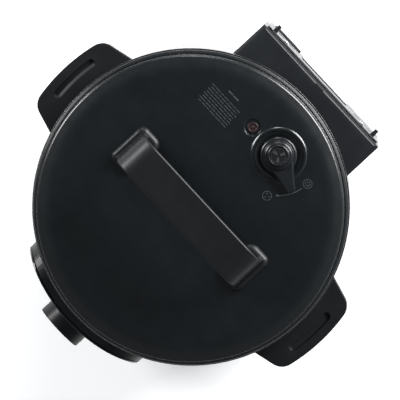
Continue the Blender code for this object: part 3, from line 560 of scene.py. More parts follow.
def make_valve():
    """Release knob: a stepped dome with a lever that grows out of its skirt."""
    base, tip = heights("valve_knob")
    profile = [(0.0068, base), (0.0172, base, 0.0006), (0.0182, base + 0.0012, 0.0004),
               (0.0182, 0.2784, 0.0003), (0.0170, 0.2793, 0.0004), (0.0146, 0.2795, 0.0012),
               (0.0138, 0.2845, 0.0003), (0.0126, 0.2853, 0.0004), (0.0112, 0.2854, 0.0005),
               (0.0105, tip - 0.0004, 0.0002), (0.0098, tip, 0.0003), (0.0093, tip, 0.0003),
               (0.0088, tip - 0.0010, 0.0003), (0.0, tip - 0.0010), (0.0, 0.2852), (0.0068, 0.2852)]
    knob = solid("release_knob", turned(profile, ROUND, VALVE.xy), KNOB, 35)
    out = Vector((math.cos(LEVER_ANGLE), math.sin(LEVER_ANGLE)))
    across = Vector((-out.y, out.x))
    stations = ((0.0095, 0.0128, 0.0066), (0.0140, 0.0118, 0.0066), (0.0190, 0.0098, 0.0065),
                (0.0250, 0.0078, 0.0062), (0.0310, 0.0063, 0.0057), (0.0350, 0.0055, 0.0052),
                (0.0376, 0.0047, 0.0046), (0.0385, 0.0034, 0.0038))
    loops = []
    for reach, half, tall in stations:
        section = soften([(-half, 0.0014, 0.0006), (half, 0.0014, 0.0006), (half * 0.86, tall, 0.0016),
                          (-half * 0.86, tall, 0.0016)], 5)
        loop = []
        for side, lift in section:
            spot = VALVE.xy + out * reach + across * side
            loop.append((spot.x, spot.y, LID_TOP + lift))
        loops.append(loop)
    boolean(knob, loft(loops), "UNION")
    place(knob, "valve", "handle_plastic", "valve_knob")
    mark = bmesh.new()
    crown = tip - 0.0010 + 0.00005
    for arm in range(3):
        turn = LEVER_ANGLE + math.radians(90 + 120 * arm)
        ahead = Vector((math.cos(turn), math.sin(turn)))
        side = Vector((-ahead.y, ahead.x))
        start, end, half = VALVE.xy + ahead * 0.0016, VALVE.xy + ahead * 0.0066, 0.0009
        prism([tuple(start + side * half), tuple(start - side * half), tuple(end - side * half * 2.0),
               tuple(end + side * half * 2.0)], crown, crown + 0.0004, "Z", mark)
    flat_ring(0.0073, 0.0077, VALVE.xy, crown, 0.0003, mark, 64)
    place(solid("knob_emblem", mark, COMPONENT), "valve", "handle_plastic")


def make_float():
    base, tip = heights("float_pin")
    pin = [(0.0, base), (0.0029, base), (0.0029, 0.2700), (0.0055, 0.2700, 0.0004), (0.0055, tip, 0.0007),
           (0.0040, tip, 0.0003), (0.0036, tip - 0.0006, 0.0002), (0.0012, tip - 0.0006, 0.0002),
           (0.0010, tip - 0.0002, 0.0002), (0.0, tip - 0.0002)]
    place(solid("red_float", turned(pin, 64, FLOAT.xy), RED), "float", "red_plastic", "float_pin")
    bottom = low("float_seal").z
    cap = [(0.0, bottom), (0.0050, bottom, 0.0006), (0.0062, high("float_seal").z, 0.0006),
           (0.0, high("float_seal").z)]
    place(solid("float_cap", turned(cap, 48, FLOAT.xy), SILICONE), "float", "silicone", "float_seal")


def sector(inner, outer, start, end, bottom, top, bm, steps=6):
    outline = arc((0, 0), outer, start, end, steps) + arc((0, 0), inner, end, start, steps)
    prism(outline, bottom, top, "Z", bm)


def bayonet_lugs(inner, outer, bottom, top):
    lugs = bmesh.new()
    for lug in range(LUG_COUNT):
        centre = 2 * math.pi * lug / LUG_COUNT
        sector(inner, outer, centre - LUG_SPAN, centre + LUG_SPAN, bottom, top, lugs)
    return lugs


def make_pan():
    """Steel inner lid, with a pressed ring, a rolled skirt edge and bayonet lugs."""
    skirt = 0.1280
    top = PAN_TOP
    under = top - 0.0012
    profile = [(0.0, under), (0.0600, under), (0.0620, under + 0.0004), (0.0900, under + 0.0004),
               (0.0920, under), (0.1268, under, 0.0006), (0.1268, PAN_LOW, 0.0004),
               (skirt, PAN_LOW, 0.0004), (skirt, top, 0.0016), (0.0, top)]
    pan = solid("inner_lid_pan", turned(profile, FINE), STEEL)
    boolean(pan, bayonet_lugs(skirt - 0.0008, 0.1330, PAN_LOW, PAN_LOW + 0.0020), "UNION")
    holes = rod(0.0048, 0.24, 0.26, 48, VALVE.xy)
    rod(0.0034, 0.24, 0.26, 32, FLOAT.xy, bm=holes)
    rod(SCREW_HOLE_R, 0.24, 0.26, 24, bm=holes)
    boolean(pan, holes)
    place(pan, "lid", "steel", "lid_pan")


def make_lid_fittings():
    bottom, top = heights("seal_rack")
    rack = [(0.1128, bottom, 0.0004), (0.1140, bottom, 0.0004), (0.1140, top), (0.1128, top)]
    place(solid("rack_ring", turned(rack), BRIGHT), "lid", "steel", "seal_rack")
    head = low("lid_centre_screw").z
    screw = [(0.0, head + 0.0012), (0.0026, head + 0.0012), (0.0026, head, 0.0002), (0.0058, head, 0.0010),
             (0.0070, 0.2497, 0.0003), (0.0025, 0.2497), (0.0025, 0.2620), (0.0, 0.2620)]
    place(solid("centre_screw", turned(screw, 48), BRIGHT), "lid", "steel", "lid_centre_screw")
    pipe = [(0.0022, 0.2440), (0.0045, 0.2440, 0.0003), (0.0045, 0.2515), (0.0080, 0.2515, 0.0004),
            (0.0080, 0.2555, 0.0004), (0.0045, 0.2555), (0.0045, 0.2826, 0.0004), (0.0022, 0.2826)]
    place(solid("steam_outlet_pipe", turned(pipe, 48, VALVE.xy), BRIGHT), "lid", "steel", "steam_pipe")
    shield = [(0.0, 0.2385), (0.0084, 0.2385, 0.0012), (0.0084, 0.2497), (0.0072, 0.2497),
              (0.0072, 0.2397, 0.0006), (0.0, 0.2397)]
    guard = solid("steam_guard", turned(shield, 64, VALVE.xy), BRIGHT)
    x, y = VALVE.xy
    for half_x, half_y in ((0.012, 0.0015), (0.0015, 0.012)):
        boolean(guard, prism(oblong(x, y, half_x, half_y), 0.2410, 0.2470))
    place(guard, "lid", "steel", "steam_shield")
    bottom, top = heights("sealing_ring")
    seal = [(0.1146, 0.2380, 0.0006), (0.1162, bottom, 0.0004), (0.1256, bottom, 0.0006),
            (0.1262, 0.2384, 0.0006), (0.1262, top, 0.0008), (0.1222, top, 0.0006),
            (0.1222, 0.2412, 0.0008), (0.1150, 0.2406, 0.0006)]
    place(solid("silicone_seal", turned(seal), SILICONE), "seal", "silicone", "sealing_ring")


def flat_ring(inner, outer, centre, level, tall, bm, steps=32):
    high_level = level + tall
    turned([(inner, level), (outer, level), (outer, high_level), (inner, high_level)], steps, centre, bm=bm)


def make_lid_marks():
    """Plain raised dashes and rings: a generic notice block and the valve's two positions."""
    draw = random.Random(7)
    level = LID_TOP + 0.00002
    tall = 0.00006
    dashes = bmesh.new()
    for row in range(8):
        y = 0.1015 - 0.0029 * row
        x = -0.0760 + 0.0014 * (row % 2)
        end = -0.0345 + 0.0012 * draw.uniform(-3.0, 1.0)
        while x < end:
            length = draw.uniform(0.0030, 0.0090)
            block((x, y - 0.00036, level), (min(x + length, end), y + 0.00036, level + tall), dashes)
            x += length + 0.0010
    for x, length in ((-0.0600, 0.0062), (-0.0528, 0.0070)):
        block((x, 0.1079, level), (x + length, 0.1092, level + tall), dashes)
    place(solid("notice_dashes", dashes, INK), "lid", "lid_plastic")
    marks = bmesh.new()
    for degrees, reach, petals in ((-59.0, 0.0418, 3), (2.4, 0.0403, 6)):
        turn = math.radians(degrees)
        centre = VALVE.xy + Vector((math.cos(turn), math.sin(turn))) * reach
        flat_ring(0.0042, 0.0048, centre, level, tall, marks)
        for petal in range(petals):
            around = 2 * math.pi * petal / petals + 0.4
            spot = centre + Vector((math.cos(around), math.sin(around))) * 0.0022
            flat_ring(0.0, 0.0007, spot, level, tall, marks, 10)
    start = math.radians(-45.0)
    end = math.radians(-8.0)
    outline = arc(VALVE.xy, 0.0406, start, end, 24) + arc(VALVE.xy, 0.0395, end, start, 24)
    prism(outline, level, level + tall, "Z", marks)
    spot = VALVE.xy + Vector((math.cos(start), math.sin(start))) * 0.04005
    flat_ring(0.0, 0.0012, spot, level + 0.00002, tall, marks, 16)
    place(solid("valve_marks", marks, INK), "lid", "lid_plastic")


def make_lid():
    make_lid_cover()
    make_strap()
    make_valve()
    make_float()
    make_pan()
    make_lid_fittings()
    make_lid_marks()


# ---------------------------------------------------------------- base

def make_shell():
    bottom, top = heights("outer_shell")
    profile = [(SHELL_R - 0.0012, bottom), (SHELL_R, bottom, 0.0005), (SHELL_R, top, 0.0004),
               (SHELL_R - 0.0012, top)]
    shell = solid("body_shell", turned(profile, SHELL_STEPS), SHELL)
    windows = block((-0.0600, -0.1700, 0.0900), (0.0600, -0.1300, 0.2080))
    block((-0.0700, 0.1300, 0.0720), (-0.0400, 0.1700, 0.0980), windows)
    boolean(shell, windows)
    place(shell, "base", "shell_paint", "outer_shell")


def make_collar():
    bottom = high("outer_shell").z + GAP
    profile = [(0.1350, 0.2279), (0.1472, 0.2279), (0.1472, 0.2375), (0.1562, 0.2375),
               (0.1562, bottom), (COLLAR_R, bottom, 0.0008), (COLLAR_R, COLLAR_TOP, 0.0005),
               (0.1562, COLLAR_TOP, 0.0006), (0.1562, 0.2400, 0.0012), (0.1446, 0.2400, 0.0006),
               (0.1446, 0.2309), (0.1350, 0.2309, 0.0008)]
    collar = solid("base_collar", turned(profile, SHELL_STEPS), LID)
    boolean(collar, rod(0.003, 0.23, 0.245, 24, (0.0, 0.1518)))
    place(collar, "base", "lid_plastic", "rim_collar")


def make_locking_ring():
    bottom, top = heights("locking_ring")
    profile = [(0.1385, bottom), (0.1440, bottom), (0.1440, top, 0.0006), (0.1385, top, 0.0006)]
    locking = solid("bayonet_ring", turned(profile), STEEL)
    boolean(locking, bayonet_lugs(0.1335, 0.1395, top - 0.0018, top), "UNION")
    place(locking, "base", "steel", "locking_ring")


def make_vessels():
    bottom, top = heights("cooker_liner")
    liner = [(0.0165, bottom), (0.1200, bottom, 0.0030), (0.1234, bottom + 0.0050, 0.0030),
             (0.1234, top - 0.0012), (0.1344, top - 0.0012), (0.1344, top, 0.0004),
             (0.1222, top, 0.0012), (0.1222, bottom + 0.0050, 0.0030), (0.1192, bottom + 0.0012, 0.0030),
             (0.0165, bottom + 0.0012)]
    place(solid("liner_vessel", turned(liner), ALUMINIUM), "base", "aluminium", "cooker_liner")
    plate_low, plate_top = heights("heating_plate")
    plate = [(0.0160, plate_low), (0.1000, plate_low), (0.1000, 0.0540, 0.0010), (0.1050, 0.0540, 0.0006),
             (0.1050, 0.0588, 0.0012), (0.1030, plate_top, 0.0006)]
    for groove in (0.0850, 0.0640, 0.0430):
        plate += [(groove + 0.0012, plate_top), (groove, plate_top - 0.0006), (groove - 0.0012, plate_top)]
    plate.append((0.0160, plate_top, 0.0004))
    place(solid("hot_plate", turned(plate), ALUMINIUM), "base", "aluminium", "heating_plate")
    foot, rim = heights("inner_pot")
    pot = [(0.0, foot), (0.1080, foot, 0.0060), (0.1160, foot + 0.0030, 0.0060),
           (0.1190, foot + 0.0110, 0.0040), (0.1190, rim - 0.0040, 0.0010), (0.1262, rim - 0.0048, 0.0016),
           (0.1262, rim, 0.0018), (0.1180, rim, 0.0016), (0.1180, foot + 0.0112, 0.0040),
           (0.1152, foot + 0.0042, 0.0060), (0.1078, foot + 0.0012, 0.0060), (0.0, foot + 0.0012)]
    place(solid("cooking_pot", turned(pot), STEEL), "pot", "steel", "inner_pot")
    levels = bmesh.new()
    for height, half in ((rim - 0.0450, 7.0), (rim - 0.0800, 5.0), (rim - 0.1100, 5.0)):
        for start in (90.0, 270.0):
            turn = math.radians(start)
            sector(0.11775, 0.1179, turn - math.radians(half), turn + math.radians(half),
                   height, height + 0.0008, levels)
    place(solid("level_marks", levels, DARK_STEEL), "pot", "steel")
    sensor_top = high("sensor_plunger").z
    sensor = [(0.0, 0.0300), (0.0055, 0.0300), (0.0055, 0.0352), (0.0115, 0.0352), (0.0115, 0.0480),
              (0.0150, 0.0480), (0.0150, sensor_top, 0.0012), (0.0, sensor_top)]
    place(solid("pot_sensor", turned(sensor, 64), ALUMINIUM), "sensor", "aluminium", "sensor_plunger")


def make_spring():
    """Round wire coil under the sensor. It shortens as the sensor goes down."""
    bottom, top = heights("sensor_spring")
    wire = 0.0006
    coil = high("sensor_spring").x - wire
    steps = 3 * 40
    loops = []
    for step in range(steps + 1):
        turn = 2 * math.pi * 3 * step / steps
        out = Vector((math.cos(turn), math.sin(turn), 0.0))
        centre = out * coil + Vector((0.0, 0.0, bottom + wire + (top - bottom - 2 * wire) * step / steps))
        loops.append([centre + out * wire * math.cos(math.pi * side / 5)
                      + Vector((0.0, 0.0, wire * math.sin(math.pi * side / 5))) for side in range(10)])
    spring = place(solid("sensor_coil", loft(loops), BRIGHT), "base", "steel", "sensor_spring")
    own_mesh(spring)


def ear_outline(inner_r, outer_r, root_y, corner_r, corner_y, steps=24):
    """Plan of a side handle on +X: two arcs about the pot's axis and two round corners."""
    reach = outer_r - corner_r
    corner_turn = math.asin(corner_y / reach)
    corner = Vector((reach * math.cos(corner_turn), corner_y))
    root_turn = math.asin(root_y / inner_r)
    away = Vector((inner_r * math.cos(root_turn), root_y)) - corner
    tangent = math.atan2(away.y, away.x) - math.acos(corner_r / away.length)
    upper = arc(corner, corner_r, corner_turn, tangent, 12)
    lower = [(x, -y) for x, y in reversed(upper)]
    outer = arc((0, 0), outer_r, -corner_turn, corner_turn, steps)
    inner = arc((0, 0), inner_r, root_turn, -root_turn, steps)
    return lower + outer[1:-1] + upper + inner


def curved_slot(inner, outer, half_length):
    """Plan of a slot on +X that follows the pot's curve and has round ends."""
    middle_r = (inner + outer) / 2
    half = (outer - inner) / 2
    turn = (half_length - half) / middle_r
    end = Vector((math.cos(turn), math.sin(turn))) * middle_r
    upper = arc(end, half, turn, turn + math.pi, 12)
    lower = [(x, -y) for x, y in reversed(upper)]
    return (arc((0, 0), outer, -turn, turn, 24)[1:-1] + upper
            + arc((0, 0), inner, turn, -turn, 24)[1:-1] + lower)


def make_side_handle(side, name, node):
    bottom, top = heights(node)
    outer = high("side_handle_right").x
    outline = ear_outline(SHELL_R + GAP, outer, 0.0560, 0.0165, 0.0335)
    recess = ear_outline(0.1640, outer - 0.0040, 0.0430, 0.0110, 0.0285)
    ear = solid(name, prism([(side * x, y) for x, y in outline], bottom, top), TEXTURED)
    bevel(ear, 0.0011, 4)
    boolean(ear, prism([(side * x, y) for x, y in recess], bottom - 0.0100, top - 0.0055))
    groove = ((0.1750, 0.1778, 0.0246, -0.0026), (0.1740, 0.1786, 0.0254, -0.0023),
              (0.1716, 0.1794, 0.0268, -0.0004), (0.1711, 0.1798, 0.0272, 0.0001),
              (0.1711, 0.1798, 0.0272, 0.0050))
    loops = []
    for inner, outer_r, length, drop in groove:
        loops.append([(side * x, y, top + drop) for x, y in curved_slot(inner, outer_r, length)])
    boolean(ear, loft(loops))
    place(ear, "base", "handle_plastic", node)


def make_tray():
    base = low("base_tray").z
    floor = base + 0.0028
    seam = high("base_tray").z
    edge = low("outer_shell").z - GAP
    profile = [(0.0, base), (0.1525, base, 0.0030), (0.1580, base + 0.0060, 0.0040), (0.1580, edge, 0.0006),
               (0.1560, edge), (0.1560, seam), (0.1530, seam), (0.1530, floor), (0.0, floor)]
    tray = solid("floor_tray", turned(profile, SHELL_STEPS), TEXTURED)
    holes = bmesh.new()
    for front in (-1, 1):
        for side in (-1, 1):
            rod(0.0046, 0.0, 0.015, 32, (0.0880 * side, 0.0880 * front), bm=holes)
    for row in range(5):
        y = -0.0240 + 0.0120 * row
        prism(oblong(0.075, y, 0.025, 0.002, 0.0019), 0.0, 0.015, "Z", holes)
    boolean(tray, holes)
    place(tray, "base", "handle_plastic", "base_tray")
    for node in ("foot_front_left", "foot_front_right", "foot_rear_left", "foot_rear_right"):
        centre = middle(node).xy
        foot_top = base - GAP
        foot = [(0.0, 0.0008), (0.0070, 0.0008, 0.0004), (0.0080, 0.0, 0.0004), (0.0115, 0.0, 0.0008),
                (0.0130, 0.0018, 0.0010), (0.0130, foot_top, 0.0006), (0.0042, foot_top), (0.0042, 0.0125),
                (0.0, 0.0125)]
        place(solid("rubber_" + node, turned(foot, 48, centre), RUBBER), "base", "rubber", node)


# ---------------------------------------------------------------- control panel

def shear_round(obj, radius, steps=72):
    """Wrap a flat plate standing at Y = 0 round the pot's axis, keeping its sides parallel to Y."""
    bm = bmesh.new()
    bm.from_mesh(obj.data)
    half = max(abs(v.co.x) for v in bm.verts)
    for step in range(1, steps):
        x = -half + 2 * half * step / steps
        parts = bm.verts[:] + bm.edges[:] + bm.faces[:]
        bmesh.ops.bisect_plane(bm, geom=parts, dist=1e-7, plane_co=(x, 0, 0), plane_no=(1, 0, 0))
    for vert in bm.verts:
        vert.co.y -= math.sqrt(radius ** 2 - vert.co.x ** 2)
    bm.to_mesh(obj.data)
    bm.free()


def make_panel():
    bottom, top = heights("panel_fascia")
    half = high("panel_fascia").x
    front_r = 0.1715
    outline = rounded_box(half, bottom, top, 0.0350, 0.0200, 14)
    fascia = solid("front_fascia", prism(outline, 0.0, 0.0025, "Y"), PIANO, 28)
    bevel(fascia, 0.0009, 3)
    display_low = low("display_window").z - GAP
    display_high = high("display_window").z + GAP
    display_half = high("display_window").x + GAP
    holes = rod(0.0060, -0.01, 0.01, 48, (0.0, DIAL.z), "Y")
    for node in ("button_start", "button_cancel"):
        centre = middle(node)
        rod(0.0089, -0.01, 0.01, 64, (centre.x, centre.z), "Y", holes)
    prism(rounded_box(display_half, display_low, display_high, 0.0006, 0.0006, 3), -0.01, 0.01, "Y", holes)
    boolean(fascia, holes)
    shear_round(fascia, front_r)
    place(fascia, "base", "gloss_panel", "panel_fascia")

    depth = 0.0120
    housing = solid("panel_body", prism(outline, 0.0028, 0.0028 + depth, "Y"), SATIN, 28)
    bevel(housing, 0.0006, 2)
    pocket = rounded_box(half - 0.003, bottom + 0.003, top - 0.003, 0.0320, 0.0170, 14)
    boolean(housing, prism(pocket, -0.01, 0.05, "Y"))
    shear_round(housing, front_r)
    boolean(housing, rod(SHELL_R + GAP, 0.04, 0.24, SHELL_STEPS))
    place(housing, "base", "handle_plastic", "panel_housing")

    pane = rounded_box(high("display_window").x, display_low + GAP, display_high - GAP, 0.0005, 0.0005, 3)
    window = solid("display_glass", prism(pane, 0.0004, 0.0021, "Y"), GLASS, 28)
    shear_round(window, front_r, 24)
    place(window, "base", "smoke_plastic", "display_window")
    make_panel_marks(front_r)


def wrapped(bm, radius, lift):
    """Lay flat marks, drawn at Y = 0, on the fascia."""
    for vert in bm.verts:
        vert.co.y += -math.sqrt(radius ** 2 - vert.co.x ** 2) - lift
    return bm


def make_panel_marks(front_r):
    """Tick marks round the dial and plain dashes and rings in place of lettering."""
    marks = bmesh.new()
    for tick in range(24):
        turn = 2 * math.pi * tick / 24
        ahead = Vector((math.cos(turn), math.sin(turn)))
        side = Vector((-ahead.y, ahead.x))
        long = tick % 2 == 0
        near = Vector((0.0, DIAL.z)) + ahead * 0.0285
        far = near + ahead * (0.0022 if long else 0.0012)
        half = 0.00028
        prism([tuple(near + side * half), tuple(near - side * half), tuple(far - side * half),
               tuple(far + side * half)], 0.0, INK_THICK, "Y", marks)
    for row in range(3):
        z = DIAL.z + 0.0130 - 0.0130 * row
        for side in (-1, 1):
            length = 0.0095 - 0.0016 * ((row + (side > 0)) % 3)
            x = side * 0.0520
            prism(oblong(x, z, length, 0.0005), 0.0, INK_THICK, "Y", marks)
    for node in ("button_start", "button_cancel"):
        under = middle(node).z - 0.0155
        prism(oblong(middle(node).x, under + 0.00045, 0.0050, 0.00045), 0.0, INK_THICK, "Y", marks)
    place(solid("panel_marks", wrapped(marks, front_r, INK_LIFT), LIGHT_INK), "base", "gloss_panel")
    segments = bmesh.new()
    display = middle("display_window")
    bars = [(0.0, 0.0045 * level, 0.0020, 0.0004) for level in (1, 0, -1)]
    bars += [(0.0026 * side, 0.0023 * level, 0.0004, 0.0017) for level in (1, -1) for side in (-1, 1)]
    for x in (-0.0165, -0.0075, 0.0075, 0.0165):
        for dx, dz, wide, tall in bars:
            prism(oblong(x + dx, display.z + dz, wide, tall), 0.0, INK_THICK, "Y", segments)
    place(solid("display_segments", wrapped(segments, front_r - 0.0004, INK_LIFT), INK),
          "base", "smoke_plastic")


def make_dial():
    centre = (0.0, DIAL.z)
    front = low("dial_knob").y
    back = high("dial_knob").y
    knob = [(0.0034, -0.1800), (0.0034, back), (DIAL_R - 0.0006, back, 0.0004),
            (DIAL_R, back - 0.0008, 0.0004), (DIAL_R, front, 0.0004), (0.0224, front, 0.0005),
            (0.0216, front + 0.0012, 0.0002),
            (0.0, front + 0.0012), (0.0, -0.1800)]
    place(solid("rotary_dial", turned(knob, 160, centre, "Y"), DIAL_BLACK, 30),
          "dial", "handle_plastic", "dial_knob")
    disc = [(0.0, front + 0.0002), (0.0212, front + 0.0002, 0.0003), (0.0212, front + 0.0009),
            (0.0, front + 0.0009)]
    place(solid("dial_face", turned(disc, 128, centre, "Y"), DARK_STEEL), "dial", "steel", "dial_disc")
    line = bmesh.new()
    prism(oblong(0.0, DIAL.z + 0.0150, 0.0008, 0.0040, 0.0007), front + 0.0001, front + 0.00025, "Y", line)
    place(solid("dial_pointer", line, LIGHT_INK), "dial", "steel")


def make_buttons():
    for node, body in (("button_start", "start"), ("button_cancel", "cancel")):
        front = low(node).y
        back = high(node).y
        centre = (middle(node).x, middle(node).z)
        profile = [(0.0, front + 0.0004), (0.0040, front + 0.0003, 0.0020), (0.0076, front, 0.0006),
                   (0.0085, front + 0.0004, 0.0008), (0.0085, -0.1610), (0.0100, -0.1610), (0.0100, -0.1590),
                   (0.0030, -0.1590), (0.0030, back), (0.0, back)]
        place(solid("push_" + node, turned(profile, 64, centre, "Y"), SATIN), body, "handle_plastic", node)


# ---------------------------------------------------------------- rear housing

def make_rear():
    bottom, top = heights("rear_housing")
    half = high("rear_housing").x
    rear = high("rear_housing").y
    crown = [((half - 0.0120) + 0.0120 * math.sin(turn), top - 0.0042 + 0.0042 * math.cos(turn))
             for turn in (0.5 * math.pi * step / 16 for step in range(17))]
    feet = [(-half, bottom, 0.0060), (half, bottom, 0.0060)]
    outline = soften(crown[::-1] + [(-x, z) for x, z in crown] + feet, 10)
    housing = solid("rear_box", prism(outline, 0.1200, rear, "Y"), REAR, 28)
    bevel(housing, 0.0007, 3)
    wedge = soften([(rear - 0.0080, top + 0.0002), (rear - 0.0026, top - 0.0004, 0.0090),
                    (rear - 0.0002, top - 0.0029, 0.0004), (rear + 0.0001, top - 0.0060),
                    (rear + 0.0040, top - 0.0060), (rear + 0.0040, top + 0.0040),
                    (rear - 0.0110, top + 0.0040)], 10)
    boolean(housing, prism(wedge, -0.1000, 0.1000, "X"))
    latch = block((-0.0055, rear - 0.0070, top - 0.0030), (0.0055, rear - 0.0022, top - 0.00005))
    boolean(housing, latch, "UNION")
    boolean(housing, rod(SHELL_R + GAP, 0.04, 0.24, SHELL_STEPS))
    pockets = block((-0.0340, 0.1608, 0.0960), (0.0340, 0.2000, 0.1640))
    block((-0.0800, 0.1500, 0.0600), (-0.0366, 0.2000, 0.1100), pockets)
    block((0.0366, 0.1580, 0.0600), (0.0800, 0.2000, 0.1900), pockets)
    block((-0.0800, 0.1580, 0.1126), (-0.0366, 0.2000, 0.1900), pockets)
    boolean(housing, pockets)
    place(housing, "base", "handle_plastic", "rear_housing")
    make_rear_cover()
    make_inlet()
    make_cup()


def make_rear_cover():
    low_y = low("rear_cover").y
    cover_y = low_y + 0.0020
    half = high("rear_cover").x
    outline = rounded_box(half, low("rear_cover").z, high("rear_cover").z, 0.0080, 0.0050, 8)
    cover = solid("back_plate", prism(outline, low_y, cover_y, "Y"), REAR, 28)
    bevel(cover, 0.0005, 2)
    ledge = high("rear_cover").z
    slope = [(low_y + 0.0002, ledge + 0.0003), (cover_y + 0.0004, ledge - 0.0016),
             (cover_y + 0.0004, ledge + 0.0010), (low_y + 0.0002, ledge + 0.0010)]
    boolean(cover, prism(slope, -0.1000, 0.1000, "X"))
    pegs = bmesh.new()
    tip = high("rear_cover").y
    for side in (-1, 1):
        peg = [(0.0, cover_y - 0.0010), (0.0026, cover_y - 0.0010), (0.0020, tip, 0.0006), (0.0, tip)]
        turned(peg, 32, (side * 0.0715, 0.2020), "Y", pegs)
    boolean(cover, pegs, "UNION")
    inside = low_y - 0.0030
    holes = block((-0.0330, inside, 0.0970), (0.0330, 0.1900, 0.1600))
    inlet = middle("mains_inlet")
    block((inlet.x - 0.0138, inside, inlet.z - 0.0108), (inlet.x + 0.0138, 0.1900, inlet.z + 0.0108), holes)
    for side in (-1, 1):
        rod(0.0019, inside, 0.19, 24, (side * 0.0560, 0.2000), "Y", holes)
    for row in range(7):
        z = 0.1250 + 0.0070 * row
        for x in (-0.0580, 0.0580):
            prism(oblong(x, z, 0.0140, 0.0011, 0.001), inside, 0.1900, "Y", holes)
    boolean(cover, holes)
    place(cover, "base", "handle_plastic", "rear_cover")
    for node in ("cover_screw_left", "cover_screw_right"):
        centre = (middle(node).x, middle(node).z)
        tip = high(node).y
        under = tip - 0.0015
        screw = solid("back_" + node, turned([(0.0, tip), (0.0030, tip, 0.0006), (0.0034, under, 0.0002),
                                              (0.0015, under), (0.0015, low(node).y), (0.0, low(node).y)],
                                             48, centre, "Y"), BRIGHT)
        for half_x, half_z in ((0.0018, 0.0004), (0.0004, 0.0018)):
            boolean(screw, prism(oblong(*centre, half_x, half_z), tip - 0.0008, tip + 0.0010, "Y"))
        place(screw, "base", "steel", node)


def make_inlet():
    start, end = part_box("mains_inlet")
    x, z = middle("mains_inlet").x, middle("mains_inlet").z
    flange_low = end.y - 0.0018
    barrel = block((x - 0.0135, start.y, z - 0.0105), (x + 0.0135, flange_low + 0.0005, z + 0.0105))
    inlet = solid("power_inlet", barrel, COMPONENT)
    flange = shifted(rounded_box(0.0185, -0.0135, 0.0135, 0.0030, 0.0030, 6), x, z)
    boolean(inlet, prism(flange, flange_low, end.y, "Y"), "UNION")
    mouth = [(x - 0.0110, z - 0.0080), (x + 0.0110, z - 0.0080), (x + 0.0110, z + 0.0045),
             (x + 0.0075, z + 0.0080), (x - 0.0075, z + 0.0080), (x - 0.0110, z + 0.0045)]
    boolean(inlet, prism(mouth, start.y + 0.0030, 0.1950, "Y"))
    slots = bmesh.new()
    pins = ("inlet_pin_line", "inlet_pin_neutral", "inlet_pin_earth")
    for pin in pins:
        centre = middle(pin)
        block((centre.x - 0.0013, start.y - 0.0010, centre.z - 0.0023),
              (centre.x + 0.0013, start.y + 0.0040, centre.z + 0.0023), slots)
    boolean(inlet, slots)
    place(inlet, "base", "component", "mains_inlet")
    for pin in pins:
        a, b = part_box(pin)
        blade = solid("blade_" + pin, block(a, b), BRASS)
        bevel(blade, 0.0004, 2)
        place(blade, "base", "brass", pin)


def make_cup():
    a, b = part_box("drip_cup")
    wall = 0.0015
    half = 0.0300
    bottom = 0.1000
    rim = 0.1520
    back = high("rear_housing").y - GAP
    body = rounded_box(half, bottom, rim, 0.0004, 0.0040, 6)
    cup = solid("drip_collector", prism(body, a.y, back, "Y"), SMOKE, 30)
    face = rounded_box(0.0325, a.z, b.z, 0.0030, 0.0030, 6)
    boolean(cup, prism(face, back - 0.0007, b.y, "Y"), "UNION")
    hollow = rounded_box(half - wall, bottom + wall, rim + 0.0200, 0.0004, 0.0030, 6)
    boolean(cup, prism(hollow, a.y + wall, back - 0.0015, "Y"))
    grip = oblong(0.0, 0.1527, 0.0130, 0.0019, 0.0014, 5)
    boolean(cup, prism(grip, b.y - 0.0012, 0.1900, "Y"))
    place(cup, "cup", "smoke_plastic", "drip_cup")


# ---------------------------------------------------------------- carried-over nodes

def finish_cad_nodes():
    """CAD nodes that keep their shape get their slot's finish."""
    slot_of = {entry["node"]: entry["material_slot"] for entry in frame["record"]["subparts"]}
    for name, obj in frame["nodes"].items():
        obj.data.materials.clear()
        obj.data.materials.append(SLOT_FINISH[slot_of[name]])


# ---------------------------------------------------------------- stage, lights and camera

def make_floor():
    bm = bmesh.new()
    bmesh.ops.create_grid(bm, x_segments=1, y_segments=1, size=9.0)
    floor = solid("floor", bm, floor_material())


def floor_material():
    """Matt pale sheet that glows evenly, as a back-lit table does."""
    made, tree, shader = new_material("pale_floor")
    cloud = spread(tree, noise(tree, coordinates(tree), 3.0), 0.0, 1.0)
    link(tree, tint(tree, cloud, (0.76, 0.76, 0.76), (0.80, 0.80, 0.80)), shader.inputs["Base Color"])
    fixed(shader, Roughness=0.9, Specular_IOR_Level=0.1, Emission_Color=(1.0, 1.0, 1.0, 1.0),
          Emission_Strength=0.40)
    return made


def make_world():
    """A grey dome: darker overhead, an even band round it, and a paler side towards +X and +Y."""
    world = bpy.data.worlds.new("studio")
    world.use_nodes = True
    bpy.context.scene.world = world
    tree = world.node_tree
    source = tree.nodes.new("ShaderNodeTexCoord")
    parts = tree.nodes.new("ShaderNodeSeparateXYZ")
    link(tree, source.outputs["Generated"], parts.inputs[0])
    rise = spread(tree, parts.outputs["Z"], 0.0, 1.0, 0.80, 0.97)
    facing = tree.nodes.new("ShaderNodeVectorMath")
    facing.operation = "DOT_PRODUCT"
    pale = math.radians(53.0)
    facing.inputs[1].default_value = (math.cos(pale), math.sin(pale), 0.0)
    link(tree, source.outputs["Generated"], facing.inputs[0])
    square = tree.nodes.new("ShaderNodeMath")
    square.operation = "POWER"
    square.inputs[1].default_value = 2.2
    link(tree, spread(tree, facing.outputs["Value"], 0.0, 1.0, 0.0, 1.0), square.inputs[0])
    band = tint(tree, square.outputs[0], (0.27, 0.285, 0.30), (0.88, 0.90, 0.93))
    shade = tree.nodes.new("ShaderNodeMix")
    shade.data_type = "RGBA"
    fixed(shade, B=(0.120, 0.130, 0.140, 1.0))
    link(tree, rise, shade.inputs["Factor"])
    link(tree, band, shade.inputs["A"])
    link(tree, shade.outputs["Result"], tree.nodes["Background"].inputs["Color"])


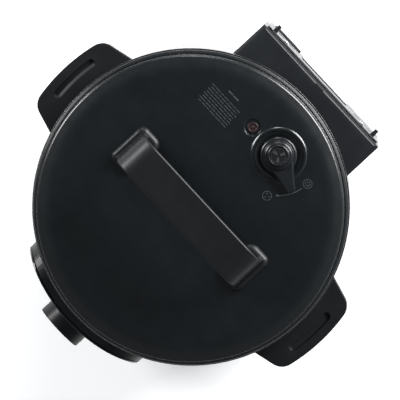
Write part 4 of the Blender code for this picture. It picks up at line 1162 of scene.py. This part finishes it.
def softbox(name, azimuth, elevation, distance, wide, tall, power, aim=(0.0, 0.0, 0.22)):
    """A rectangular light on the +X side turned by azimuth, facing the cooker."""
    light = bpy.data.lights.new(name, "AREA")
    light.shape = "RECTANGLE"
    light.size = wide
    light.size_y = tall
    light.energy = power
    made = bpy.data.objects.new(name, light)
    bpy.context.scene.collection.objects.link(made)
    turn = math.radians(azimuth)
    rise = math.radians(elevation)
    out = Vector((math.cos(turn) * math.cos(rise), math.sin(turn) * math.cos(rise), math.sin(rise)))
    made.location = Vector(aim) + out * distance
    made.rotation_euler = out.to_track_quat("Z", "Y").to_euler()


def make_lights():
    softbox("rear_strip", 84.0, 27.0, 1.7, 1.00, 0.46, 66.0)
    softbox("left_strip", 194.0, 23.0, 1.7, 0.58, 0.44, 30.0)
    softbox("corner_strip", 138.0, 22.0, 1.7, 0.36, 0.24, 6.0)


def make_camera():
    """A long lens nearly straight above, turned so that the rear housing points up and to the right."""
    distance = 5.0
    span = 0.400               # metres across the picture at the rim
    sensor = 36.0
    turn = math.radians(47.1)
    right = Vector((math.cos(turn), math.sin(turn), 0.0))
    up = Vector((-math.sin(turn), math.cos(turn), 0.0))
    rim = Vector((0.0, 0.0, LID_LOW + 0.0020))
    aim = rim + right * 0.00925 + up * 0.0075
    out = Vector((-0.0175, 0.0625, 1.0)).normalized()
    camera = bpy.data.objects.new("camera", bpy.data.cameras.new("camera"))
    camera.data.sensor_width = sensor
    camera.data.lens = sensor * distance / span
    camera.data.clip_end = 50.0
    side = up.cross(out).normalized()
    top = out.cross(side)
    basis = Matrix((side, top, out)).transposed().to_4x4()
    camera.matrix_world = Matrix.Translation(aim + out * distance) @ basis
    bpy.context.scene.collection.objects.link(camera)
    bpy.context.scene.camera = camera
    bpy.context.scene.view_settings.view_transform = "Standard"


make_lid()
make_shell()
make_collar()
make_locking_ring()
make_vessels()
make_spring()
make_side_handle(-1, "left_ear", "side_handle_left")
make_side_handle(1, "right_ear", "side_handle_right")
make_tray()
make_panel()
make_dial()
make_buttons()
make_rear()
finish_cad_nodes()
make_floor()
make_world()
make_lights()
make_camera()
